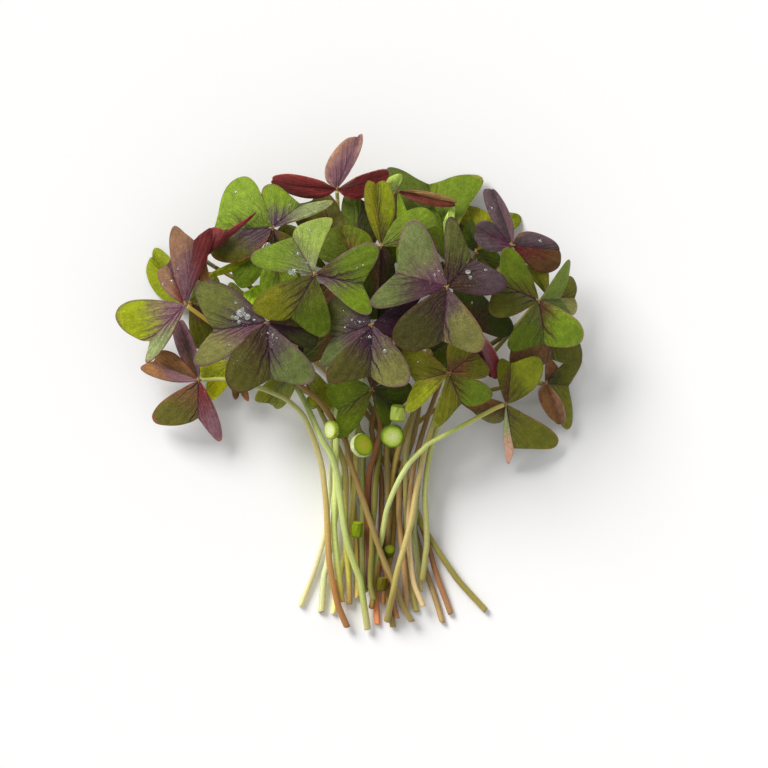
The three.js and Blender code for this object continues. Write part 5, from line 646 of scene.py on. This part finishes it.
# ---------------------------------------------------------------- node helpers
class Net:
    def __init__(self, name):
        self.mat = bpy.data.materials.new(name)
        self.mat.use_nodes = True
        self.t = self.mat.node_tree
        self.t.nodes.clear()
        self.out = self.t.nodes.new("ShaderNodeOutputMaterial")
        self.p = self.t.nodes.new("ShaderNodeBsdfPrincipled")
        self.t.links.new(self.p.outputs[0], self.out.inputs[0])
        self.p.inputs["Specular IOR Level"].default_value = 0.3

    def link(self, a, b):
        self.t.links.new(a, b)

    def put(self, sock, v):
        if isinstance(v, bpy.types.NodeSocket):
            self.t.links.new(v, sock)
        else:
            sock.default_value = v

    def math(self, op, a, b=None, c=None, clamp=False):
        n = self.t.nodes.new("ShaderNodeMath")
        n.operation = op
        n.use_clamp = clamp
        self.put(n.inputs[0], a)
        if b is not None:
            self.put(n.inputs[1], b)
        if c is not None:
            self.put(n.inputs[2], c)
        return n.outputs[0]

    def vmath(self, op, a, b=None):
        n = self.t.nodes.new("ShaderNodeVectorMath")
        n.operation = op
        self.put(n.inputs[0], a)
        if b is not None:
            self.put(n.inputs[3] if op == "SCALE" else n.inputs[1], b)
        return n.outputs[0]

    def attr(self, name, out="Vector"):
        n = self.t.nodes.new("ShaderNodeAttribute")
        n.attribute_name = name
        return n.outputs[out]

    def sep(self, v):
        n = self.t.nodes.new("ShaderNodeSeparateXYZ")
        self.link(v, n.inputs[0])
        return n.outputs

    def comb(self, x, y, z=0.0):
        n = self.t.nodes.new("ShaderNodeCombineXYZ")
        for i, v in enumerate((x, y, z)):
            self.put(n.inputs[i], v)
        return n.outputs[0]

    def noise(self, vec, scale, detail=2.0, rough=0.5, colour=False):
        n = self.t.nodes.new("ShaderNodeTexNoise")
        self.link(vec, n.inputs["Vector"])
        n.inputs["Scale"].default_value = scale
        n.inputs["Detail"].default_value = detail
        n.inputs["Roughness"].default_value = rough
        return n.outputs["Color" if colour else "Fac"]

    def voronoi(self, vec, scale, feature="F1", out="Distance"):
        n = self.t.nodes.new("ShaderNodeTexVoronoi")
        n.feature = feature
        self.link(vec, n.inputs["Vector"])
        n.inputs["Scale"].default_value = scale
        return n.outputs[out]

    def mapr(self, v, a, b, c=0.0, d=1.0, smooth=False):
        n = self.t.nodes.new("ShaderNodeMapRange")
        n.interpolation_type = "SMOOTHSTEP" if smooth else "LINEAR"
        for i, x in enumerate((v, a, b, c, d)):
            self.put(n.inputs[i], x)
        return n.outputs[0]

    def mix(self, f, a, b, mode="MIX"):
        n = self.t.nodes.new("ShaderNodeMix")
        n.data_type = "RGBA"
        n.blend_type = mode
        self.put(n.inputs[0], f)
        self.put(n.inputs[6], a)
        self.put(n.inputs[7], b)
        return n.outputs[2]

    def coord(self):
        n = self.t.nodes.new("ShaderNodeTexCoord")
        return n.outputs["Object"]

    def bump(self, height, strength, distance, normal=None):
        n = self.t.nodes.new("ShaderNodeBump")
        n.inputs["Strength"].default_value = strength
        n.inputs["Distance"].default_value = distance
        self.link(height, n.inputs["Height"])
        if normal is not None:
            self.link(normal, n.inputs["Normal"])
        return n.outputs[0]

    def ramp(self, f, stops):
        n = self.t.nodes.new("ShaderNodeValToRGB")
        self.link(f, n.inputs[0])
        e = n.color_ramp.elements
        while len(e) < len(stops):
            e.new(0.5)
        for el, (pos, rgb) in zip(e, stops):
            el.position = pos
            el.color = (*[float(x) for x in rgb], 1.0)
        return n.outputs[0]


# ---------------------------------------------------------------- leaf material
def leaf_material():
    k = Net("oxalis_leaf")
    s, t, w = k.sep(k.attr("st"))
    reach, veins, rims = k.sep(k.attr("amt"))
    off, seed, _ = k.sep(k.attr("aux"))
    ob = k.coord()
    wx, wy, wz = k.sep(k.vmath("SUBTRACT", k.noise(ob, 190, 3, 0.6, True), (0.5, 0.5, 0.5)))
    s1 = k.math("ADD", s, k.math("MULTIPLY", wx, 0.17))
    t1 = k.math("ADD", t, k.math("MULTIPLY", wy, 0.17))
    big_n = k.noise(ob, 95, 3, 0.6)
    mid_n = k.noise(ob, 430, 4, 0.65)
    grain = k.noise(ob, 1500, 3, 0.6)
    r = k.math("SQRT", k.math("ADD", k.math("MULTIPLY", s, s), k.math("MULTIPLY", t, t)))
    r1 = k.math("ADD", r, k.math("MULTIPLY", k.math("SUBTRACT", big_n, 0.5), 0.5))

    # side veins: a family of lines that leave the midrib and fan out towards the lobe
    a = k.math("MULTIPLY_ADD", s1, 0.7, 0.878)
    c = k.math("SUBTRACT", k.math("MULTIPLY", s1, 0.878), t1)
    disc = k.math("SQRT", k.math("MAXIMUM", k.math("SUBTRACT", k.math("MULTIPLY", a, a), k.math("MULTIPLY", c, 2.8)), 0.0))
    s0 = k.math("DIVIDE", k.math("SUBTRACT", a, disc), 1.4)
    run = k.math("SUBTRACT", s1, s0)

    def lines(period, width, taper, a0, a1, low, salt):
        """Lines of one period; each has its own strength, from low to 1, and its own length."""
        q = k.math("DIVIDE", k.math("ADD", s0, off), period)
        f = k.math("FRACT", q)
        own = k.noise(k.comb(k.math("MULTIPLY", k.math("FLOOR", q), 7.31), seed, salt), 1.0, 0)
        own = k.mapr(own, 0.35, 0.62, 0.0, 1.0)
        d = k.math("ABSOLUTE", k.math("SUBTRACT", f, 0.5))
        d = k.math("MULTIPLY", k.math("MULTIPLY", d, period), k.math("MULTIPLY_ADD", run, 0.6, 0.62))
        wd = k.mapr(run, 0.0, a1, width, width * taper)
        m = k.mapr(k.math("DIVIDE", d, wd), 0.1, 1.0, 1.0, 0.0, True)
        end = k.math("MULTIPLY_ADD", own, a1 * 0.55, a1 * 0.55)
        fade = k.mapr(run, a0, end, 1.0, 0.0, True)
        return k.math("MULTIPLY", k.math("MULTIPLY", m, fade), k.math("MULTIPLY_ADD", own, 1.0 - low, low))

    big = lines(0.225, 0.050, 0.34, 0.12, 0.74, 0.4, 1.0)
    halo = lines(0.225, 0.105, 0.5, 0.05, 0.60, 0.2, 1.0)
    small = lines(0.083, 0.022, 0.6, 0.20, 0.80, 0.15, 5.0)
    hair = lines(0.031, 0.009, 0.9, 0.75, 1.30, 0.3, 9.0)
    midw = k.mapr(s, 0.0, 1.0, 0.062, 0.013)
    mt = k.math("ADD", t, k.math("MULTIPLY", wy, 0.03))
    midrib = k.mapr(k.math("DIVIDE", mt, midw), 0.2, 1.0, 1.0, 0.0, True)
    midrib = k.math("MULTIPLY", midrib, k.mapr(s, 0.65, 1.0, 1.0, 0.2, True))
    midhalo = k.math("MULTIPLY", k.mapr(t, 0.0, 0.17, 1.0, 0.0, True), k.mapr(s, 0.30, 0.95, 1.0, 0.0, True))
    # the finest net of veins
    net_at = k.vmath("ADD", ob, k.vmath("SCALE", k.noise(ob, 900, 2, 0.5, True), 0.0009))
    net = k.mapr(k.voronoi(net_at, 1050, "DISTANCE_TO_EDGE"), 0.0, 0.22, 1.0, 0.0, True)
    # streaks that run out from the knob
    ang = k.math("ARCTAN2", t1, k.math("ADD", s1, 0.04))
    streak = k.noise(k.comb(k.math("MULTIPLY", ang, 26.0), k.math("MULTIPLY", r, 2.2), seed), 1.0, 3, 0.6)

    # darker core towards the knob: partly the leaf's own purple centre, partly painted shade where the blade curves
    # away from the light
    core_at = k.math("ADD", r1, k.math("MULTIPLY", k.math("SUBTRACT", streak, 0.5), 0.75))
    core_at = k.math("ADD", core_at, k.math("MULTIPLY", k.math("SUBTRACT", mid_n, 0.5), 0.35))
    core_and_shade = k.mapr(core_at, k.math("SUBTRACT", reach, 0.34), k.math("ADD", reach, 0.42), 1.0, 0.0, True)
    col = k.mix(core_and_shade, k.attr("tip", "Color"), k.attr("core", "Color"))
    # margins: a broad band along the straight sides, a thin line round the lobe
    side = k.mapr(r, 0.50, 1.10, 1.0, 0.12, True)
    rim_in = k.math("MULTIPLY_ADD", side, -0.34, 0.945)
    rim_w = k.math("ADD", w, k.math("MULTIPLY", k.math("SUBTRACT", mid_n, 0.5), 0.26))
    rimm = k.math("MULTIPLY", k.mapr(rim_w, rim_in, 1.0, 0.0, 1.0, True), rims)
    col = k.mix(rimm, col, k.attr("rim", "Color"))
    halom = k.math("MULTIPLY", k.math("MAXIMUM", k.math("MULTIPLY", halo, 0.75), k.math("MULTIPLY", midhalo, 0.70)), veins)
    col = k.mix(halom, col, k.attr("core", "Color"))
    # thin dark lines, strongest near the knob
    near = k.mapr(r1, 0.35, 1.15, 1.0, 0.25, True)
    vm = k.math("MAXIMUM", big, k.math("MULTIPLY", small, 0.62))
    vm = k.math("MAXIMUM", vm, k.math("MULTIPLY", k.math("MULTIPLY", net, near), 0.34))
    vm = k.math("MAXIMUM", k.math("MULTIPLY", vm, k.mapr(mid_n, 0.30, 0.62, 0.45, 1.15)), midrib)
    col = k.mix(k.math("MULTIPLY", vm, veins, clamp=True), col, k.attr("vein", "Color"))
    # hair-fine pleats, mottling at three sizes
    val = k.mapr(mid_n, 0.28, 0.72, 0.74, 1.24)
    val = k.math("MULTIPLY", val, k.mapr(grain, 0.28, 0.72, 0.80, 1.20))
    val = k.math("MULTIPLY", val, k.mapr(streak, 0.25, 0.75, 0.88, 1.12))
    val = k.math("MULTIPLY", val, k.mapr(big_n, 0.3, 0.7, 0.86, 1.12))
    val = k.math("MULTIPLY", val, k.math("MULTIPLY_ADD", hair, -0.16, 1.04))
    val = k.math("MULTIPLY", val, k.math("MULTIPLY_ADD", net, -0.10, 1.03))
    col = k.vmath("SCALE", col, val)
    # pale grey specks, mostly on the inner half: partly the waxy bloom, partly painted sheen (small painted highlights)
    bloom_and_sheen_speck = k.mapr(k.voronoi(ob, 1700), 0.05, 0.38, 1.0, 0.0, True)
    bloom_and_sheen_speck = k.math("MULTIPLY", bloom_and_sheen_speck, k.mapr(mid_n, 0.50, 0.68, 0.0, 1.0, True))
    bloom_and_sheen_speck = k.math("MULTIPLY", bloom_and_sheen_speck, k.math("MULTIPLY_ADD", core_and_shade, 0.30, 0.10))
    col = k.mix(bloom_and_sheen_speck, col, (0.50, 0.50, 0.42, 1))
    k.link(col, k.p.inputs["Base Color"])
    k.link(k.mapr(mid_n, 0.3, 0.7, 0.34, 0.52), k.p.inputs["Roughness"])
    k.p.inputs["IOR"].default_value = 1.42
    k.p.inputs["Specular IOR Level"].default_value = 0.22
    h = k.math("ADD", k.math("MULTIPLY", k.noise(ob, 2600, 2, 0.5), 0.25), k.math("MULTIPLY", mid_n, 0.9))
    h = k.math("SUBTRACT", h, k.math("MULTIPLY", big, 0.9))
    h = k.math("SUBTRACT", h, k.math("MULTIPLY", small, 0.5))
    h = k.math("SUBTRACT", h, k.math("MULTIPLY", net, 0.25))
    h = k.math("SUBTRACT", h, k.math("MULTIPLY", hair, 0.22))
    k.link(k.bump(h, 0.9, 0.00034), k.p.inputs["Normal"])
    return k.mat


def knob_material():
    k = Net("oxalis_knob")
    ob = k.coord()
    n = k.noise(ob, 1400, 3)
    col = k.ramp(k.mapr(n, 0.3, 0.7), [(0, lin((104, 70, 38))), (0.5, lin((140, 104, 60))), (1, lin((172, 146, 96)))])
    k.link(col, k.p.inputs["Base Color"])
    k.p.inputs["Roughness"].default_value = 0.5
    k.link(k.bump(n, 0.5, 0.0001), k.p.inputs["Normal"])
    return k.mat


LEAF_MAT = leaf_material()
KNOB_MAT = knob_material()


# ---------------------------------------------------------------- stalks
def stalk_material(name, stops, seed):
    k = Net(name + "_skin")
    along, turn, cap = k.sep(k.attr("run"))
    ob = k.coord()
    patch = k.noise(ob, 120, 3, 0.6)
    pos = k.math("ADD", along, k.math("MULTIPLY", k.math("SUBTRACT", patch, 0.5), 0.10))
    # each stalk's tints are raised or lowered by its painted-light gain
    col = k.ramp(pos, [(p, np.clip(lin(c) * STALK_PAINTED_LIGHT.get(name, 1.0) * ((1.0, 0.96, 1.15) if c[1] > c[0] * 0.92 else (1.0, 1.15, 0.9) if c[1] > c[0] * 0.8 else (1.0, 1.36, 1.1)), 0, 1)) for p, c in stops])
    ca, sa = k.math("COSINE", turn), k.math("SINE", turn)
    streak = k.noise(k.comb(k.math("MULTIPLY", ca, 2.2), k.math("MULTIPLY", sa, 2.2), k.math("MULTIPLY_ADD", along, 7.0, float(seed))), 1.6, 4, 0.6)
    fine = k.noise(ob, 900, 3, 0.6)
    val = k.math("MULTIPLY", k.mapr(streak, 0.3, 0.7, 0.84, 1.16), k.mapr(fine, 0.3, 0.7, 0.92, 1.08))
    col = k.vmath("SCALE", col, val)
    pith = k.mapr(cap, 0.2, 0.8, 0.0, 1.0, True)
    cut = k.mix(k.mapr(fine, 0.35, 0.65), (*[float(x) for x in lin((196, 178, 128))], 1), (*[float(x) for x in lin((132, 96, 60))], 1))
    col = k.mix(pith, col, cut)
    k.link(col, k.p.inputs["Base Color"])
    k.link(k.mapr(fine, 0.3, 0.7, 0.36, 0.5), k.p.inputs["Roughness"])
    k.p.inputs["IOR"].default_value = 1.42
    h = k.math("ADD", k.math("MULTIPLY", streak, 0.8), k.math("MULTIPLY", fine, 0.3))
    k.link(k.bump(h, 0.4, 0.00012), k.p.inputs["Normal"])
    return k.mat


def build_stalk(name, path, seed):
    rng = np.random.default_rng(seed)
    p = np.array(path, float)
    seg = np.linalg.norm(np.diff(p[:, :3], axis=0), axis=1)
    q = through(p, 6)
    d = np.r_[0, np.cumsum(np.linalg.norm(np.diff(q[:, :3], axis=0), axis=1))]
    n = int(np.clip(d[-1] / 1.15, 60, 170))
    w = np.linspace(0, d[-1], n)
    q = np.stack([np.interp(w, d, q[:, i]) for i in range(4)], -1)
    tan = unit(np.gradient(q[:, :3], axis=0))
    # reach into the knob
    q = np.vstack([q, np.r_[q[-1, :3] + tan[-1] * 0.5, q[-1, 3] * 0.9]])
    tan = np.vstack([tan, tan[-1]])
    n += 1
    S = 14
    ang = np.linspace(0, 2 * math.pi, S, endpoint=False)
    u = unit(np.cross([0, 0, 1.0], tan[0]))
    f1, f2 = rng.uniform(0, 6.28, 2)
    slant = rng.uniform(-0.5, 0.5, 2)
    rings, run = [], []
    for i in range(n):
        u = unit(u - tan[i] * (u @ tan[i]))
        v = np.cross(tan[i], u)
        r = q[i, 3] * (1 + 0.03 * math.sin(w[min(i, n - 2)] * 0.17 + f1) + 0.045 * np.cos(2 * ang + f2) + 0.02 * np.cos(5 * ang + f1))
        r = r * 0.985
        ring = q[i, :3] + np.cos(ang)[:, None] * u * r[:, None] + np.sin(ang)[:, None] * v * r[:, None]
        if i == 0:
            ring = ring + tan[0] * (np.cos(ang) * slant[0] + np.sin(ang) * slant[1] + 0.25)[:, None]
        rings.append(ring)
        run.append(np.stack([np.full(S, i / (n - 1)), ang, np.zeros(S)], -1))
    co, st, faces = list(np.vstack(rings)), list(np.vstack(run)), []
    for i in range(n - 1):
        for j in range(S):
            a, b = i * S + j, i * S + (j + 1) % S
            faces.append((a, b, b + S, a + S))
    # cut face: a worn lip, then a slightly hollow pith
    c0 = rings[0].mean(0)
    prev = list(range(S))
    for f, dep, cp in ((0.93, -0.06, 0.6), (0.6, 0.02, 1.0), (0.25, 0.10, 1.0)):
        first = len(co)
        for j in range(S):
            co.append(c0 + (rings[0][j] - c0) * f + tan[0] * dep)
            st.append([0, ang[j], cp])
        for j in range(S):
            j2 = (j + 1) % S
            faces.append((prev[j2], prev[j], first + j, first + j2))
        prev = list(range(first, first + S))
    co.append(c0 + tan[0] * 0.12)
    st.append([0, 0, 1.0])
    for j in range(S):
        faces.append((prev[(j + 1) % S], prev[j], len(co) - 1))
    e = (n - 1) * S
    co.append(q[-1, :3] + tan[-1] * 0.2)
    st.append([1, 0, 0])
    for j in range(S):
        faces.append((e + j, e + (j + 1) % S, len(co) - 1))
    me = bpy.data.meshes.new(name + "_look")
    co = np.array(co)
    co[:, 2] = np.maximum(co[:, 2], 0.02)
    me.from_pydata((co * MM).tolist(), [], faces)
    me.update()
    set_attr(me, "run", "FLOAT_VECTOR", "POINT", np.array(st))
    me.polygons.foreach_set("use_smooth", np.ones(len(faces), bool))
    me.materials.append(stalk_material(name, STALK[name], seed % 17))
    me.update()
    ob = bpy.data.objects.new(name + "_look", me)
    bpy.context.scene.collection.objects.link(ob)
    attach(ob, "root")
    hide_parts(name)
    return ob


# ---------------------------------------------------------------- buds
BUDLOOK = {  # face centre, face mid, rim, side
    "bud_1": ((226, 232, 176), (204, 214, 120), (136, 162, 34), (150, 172, 44)),
    "bud_2": ((176, 170, 50), (150, 168, 24), (104, 132, 8), (214, 220, 160)),
    "bud_3": ((206, 214, 140), (168, 190, 60), (96, 128, 10), (88, 116, 10)),
    "bud_4": ((176, 196, 74), (156, 180, 44), (104, 136, 12), (176, 194, 84)),
    "bud_5": ((176, 184, 30), (156, 168, 18), (104, 120, 6), (112, 128, 8)),
    "bud_6": ((170, 184, 24), (150, 166, 12), (100, 124, 4), (130, 148, 12)),
    "bud_7": ((116, 128, 4), (104, 112, 2), (74, 84, 0), (84, 92, 2)),
    "bud_8": ((136, 122, 8), (124, 108, 6), (90, 84, 2), (100, 90, 4)),
}


def bud_material(name, tints):
    k = Net(name + "_skin")
    rad, ax, turn = k.sep(k.attr("run"))
    ob = k.coord()
    n = k.noise(ob, 700, 4, 0.6)
    fine = k.noise(ob, 2200, 2, 0.5)
    rr = k.math("ADD", rad, k.math("MULTIPLY", k.math("SUBTRACT", n, 0.5), 0.18))
    c, m, r, sd = (lin(x) for x in tints)
    face = k.ramp(rr, [(0.0, c), (0.45, c * 0.6 + m * 0.4), (0.72, m), (0.9, r), (1.0, r * 0.8)])
    ca, sa = k.math("COSINE", turn), k.math("SINE", turn)
    streak = k.noise(k.comb(k.math("MULTIPLY", ca, 3.0), k.math("MULTIPLY", sa, 3.0), k.math("MULTIPLY", ax, 0.4)), 2.0, 3, 0.6)
    side = k.ramp(streak, [(0.30, r * 0.75), (0.45, sd * 0.85), (0.56, sd), (0.7, sd * 0.6 + c * 0.5)])
    on_face = k.mapr(k.math("ABSOLUTE", ax), 0.62, 0.8, 0.0, 1.0, True)
    col = k.mix(on_face, side, face)
    col = k.vmath("SCALE", col, k.mapr(fine, 0.3, 0.7, 0.88, 1.12))
    k.link(col, k.p.inputs["Base Color"])
    k.link(k.mapr(n, 0.3, 0.7, 0.3, 0.46), k.p.inputs["Roughness"])
    k.p.inputs["IOR"].default_value = 1.42
    h = k.math("ADD", k.math("MULTIPLY", streak, 0.8), k.math("MULTIPLY", fine, 0.35))
    k.link(k.bump(h, 0.4, 0.00015), k.p.inputs["Normal"])
    return k.mat


def build_bud(name, centre, ra, rl, axis, seed):
    rng = np.random.default_rng(seed)
    a = unit(np.array(axis, float))
    u = unit(np.cross(a, [0.3, 0.9, 0.1]))
    v = np.cross(a, u)
    # half profile: domed cut face, rounded shoulder, barrel side
    prof = [(0.0, -0.90), (0.28, -0.905), (0.52, -0.90), (0.70, -0.885), (0.82, -0.86), (0.90, -0.80), (0.955, -0.70), (0.985, -0.52), (0.995, -0.28), (1.0, 0.0)]
    prof = prof + [(r, -z) for r, z in prof[-2::-1]]
    S = 40
    ang = np.linspace(0, 2 * math.pi, S, endpoint=False)
    f = rng.uniform(0, 6.28, 4)
    co, st, rows = [], [], []
    for r, z in prof:
        if r == 0:
            rows.append([len(co)] * S)
            co.append(np.array(centre) + a * z * rl * 0.98); st.append([0, z, 0])
            continue
        row = []
        for k_, g in enumerate(ang):
            rr = ra * 0.97 * r * (1 + 0.018 * math.sin(3 * g + f[0]) + 0.012 * math.sin(7 * g + f[1]))
            zz = z * rl * (1 + 0.02 * math.sin(2 * g + f[2]) * r)
            row.append(len(co))
            co.append(np.array(centre) + u * rr * math.cos(g) + v * rr * math.sin(g) + a * zz)
            st.append([r, z, g])
        rows.append(row)
    faces = []
    for i in range(len(rows) - 1):
        for j in range(S):
            j2 = (j + 1) % S
            q = [rows[i][j], rows[i][j2], rows[i + 1][j2], rows[i + 1][j]]
            q = list(dict.fromkeys(q))
            if len(q) > 2:
                faces.append(q)
    me = bpy.data.meshes.new(name + "_look")
    co = np.array(co)
    co[:, 2] = np.maximum(co[:, 2], 0.02)
    me.from_pydata((co * MM).tolist(), [], faces)
    me.update()
    set_attr(me, "run", "FLOAT_VECTOR", "POINT", np.array(st))
    me.polygons.foreach_set("use_smooth", np.ones(len(faces), bool))
    me.materials.append(bud_material(name, BUDLOOK[name]))
    ob = bpy.data.objects.new(name + "_look", me)
    bpy.context.scene.collection.objects.link(ob)
    mod = ob.modifiers.new("round", "SUBSURF")
    mod.levels = mod.render_levels = 1
    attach(ob, "root")
    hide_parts(name)
    return ob


leaf_objects = []
for _i, (_name, _hub, _down, _lets) in enumerate(LEAVES):
    leaf_objects.append(build_leaf(_name, _hub, _down, _lets, LOOK[_name], 100 + _i))
for _i, (_name, _path) in enumerate(STEMS):
    build_stalk(_name, _path, 300 + _i)
for _i, (_name, _c, _ra, _rl, _ax) in enumerate(BUDS):
    build_bud(_name, _c, _ra, _rl, _ax, 500 + _i)


# ---------------------------------------------------------------- water
def water_material():
    k = Net("water")
    # the white diffuse share (transmission below 1) is painted reflection: it makes the drops milky, as if they
    # mirrored the light above
    k.p.inputs["Base Color"].default_value = (0.93, 0.95, 0.92, 1)
    k.p.inputs["Roughness"].default_value = 0.05
    k.p.inputs["IOR"].default_value = 1.33
    k.p.inputs["Specular IOR Level"].default_value = 0.5
    k.p.inputs["Transmission Weight"].default_value = 0.78
    return k.mat


def build_drops():
    verts, tris = [], []
    for ob in leaf_objects:
        base = len(verts)
        me = ob.data
        co = np.empty(len(me.vertices) * 3, np.float32)
        me.vertices.foreach_get("co", co)
        verts.extend(co.reshape(-1, 3).tolist())
        tris.extend([tuple(base + i for i in p.vertices) for p in me.polygons])
    tree = BVHTree.FromPolygons(verts, tris)
    rng = np.random.default_rng(7)
    water = water_material()
    spots = [(c, r, s, False) for c, r, s in DROPS]
    # fine dew round the larger drops and on a few purple leaves
    for c, r, n, spread in ((243, 316, 26, 13), (274, 336, 16, 12), (170, 276, 16, 12), (355, 325, 16, 14), (372, 345, 8, 16),
                            (437, 274, 14, 10), (470, 275, 8, 14), (495, 205, 10, 10), (230, 350, 8, 14), (298, 262, 8, 14)):
        for _ in range(n):
            spots.append((c + rng.normal(0, spread / 2), r + rng.normal(0, spread / 2), float(rng.uniform(0.35, 0.65)), True))
    big, small = ([], []), ([], [])
    for c, r, size, tiny in spots:
        x, y = place(c, r)
        hit, nor, idx, dist = tree.ray_cast(Vector((x * MM, y * MM, 0.2)), Vector((0, 0, -1)))
        if hit is None:
            continue
        if nor.z < 0:
            nor = -nor
        n = np.array(nor); p = np.array(hit) / MM
        if n[2] < 0.45:
            continue
        a = size * MM_PER_PX
        u = unit(np.cross(n, [0.2, 1, 0.3])); v = np.cross(n, u)
        S, rowsn = (10, 4) if tiny else (28, 9)
        co, faces = (small if tiny else big)
        first = len(co)
        stretch = float(rng.uniform(0.85, 1.15))
        rows = []
        for j in range(rowsn):
            el = j / rowsn * math.pi / 2
            rr, hh = a * math.cos(el) ** 0.8, a * 0.62 * math.sin(el)
            row = []
            for i in range(S):
                g = 2 * math.pi * i / S
                row.append(len(co))
                co.append(p + u * rr * math.cos(g) * stretch + v * rr * math.sin(g) / stretch + n * (hh + 0.02))
            rows.append(row)
        topi = len(co)
        co.append(p + n * (a * 0.62 + 0.02))
        low = len(co)
        co.append(p - n * 0.04)
        for j in range(rowsn - 1):
            for i in range(S):
                i2 = (i + 1) % S
                faces.append((rows[j][i], rows[j][i2], rows[j + 1][i2], rows[j + 1][i]))
        for i in range(S):
            i2 = (i + 1) % S
            faces.append((rows[-1][i], rows[-1][i2], topi))
            faces.append((rows[0][i2], rows[0][i], low))
    for nm, (co, faces) in (("water_drops", big), ("fine_dew", small)):
        me = bpy.data.meshes.new(nm)
        me.from_pydata((np.array(co) * MM).tolist(), [], faces)
        me.polygons.foreach_set("use_smooth", np.ones(len(faces), bool))
        me.update()
        me.materials.append(water)
        ob = bpy.data.objects.new(nm, me)
        bpy.context.scene.collection.objects.link(ob)
        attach(ob, "root")


build_drops()

# ---------------------------------------------------------------- table, light and camera
me = bpy.data.meshes.new("table_top")
_n = 2.0
me.from_pydata([(-_n, -_n, 0), (_n, -_n, 0), (_n, _n, 0), (-_n, _n, 0)], [], [(0, 1, 2, 3)])
fl = Net("table_paint")
fl.p.inputs["Base Color"].default_value = (0.965, 0.965, 0.972, 1)
fl.p.inputs["Roughness"].default_value = 0.7
me.materials.append(fl.mat)
table = bpy.data.objects.new("table_top", me)
bpy.context.scene.collection.objects.link(table)

world = bpy.data.worlds.new("soft_room")
bpy.context.scene.world = world
world.use_nodes = True
bg = world.node_tree.nodes["Background"]
bg.inputs[0].default_value = (1.0, 1.0, 1.0, 1)
bg.inputs[1].default_value = 0.50


key = bpy.data.lights.new("window_light", "SUN")
key.energy = 2.91
key.angle = math.radians(30)
key.color = (1.0, 0.985, 0.96)
key_ob = bpy.data.objects.new("window_light", key)
key_ob.rotation_mode = "QUATERNION"
key_ob.rotation_quaternion = Vector((0.66, -0.74, -0.74)).to_track_quat("-Z", "Y")
bpy.context.scene.collection.objects.link(key_ob)

cam = bpy.data.cameras.new("above")
cam.type = "ORTHO"
cam.ortho_scale = 768 * MM_PER_PX * MM
cam.clip_start, cam.clip_end = 0.01, 5
camera = bpy.data.objects.new("above", cam)
camera.location = (CENTRE[0] * MM, CENTRE[1] * MM, 0.8)
bpy.context.scene.collection.objects.link(camera)
bpy.context.scene.camera = camera
bpy.context.scene.view_settings.view_transform = "Standard"
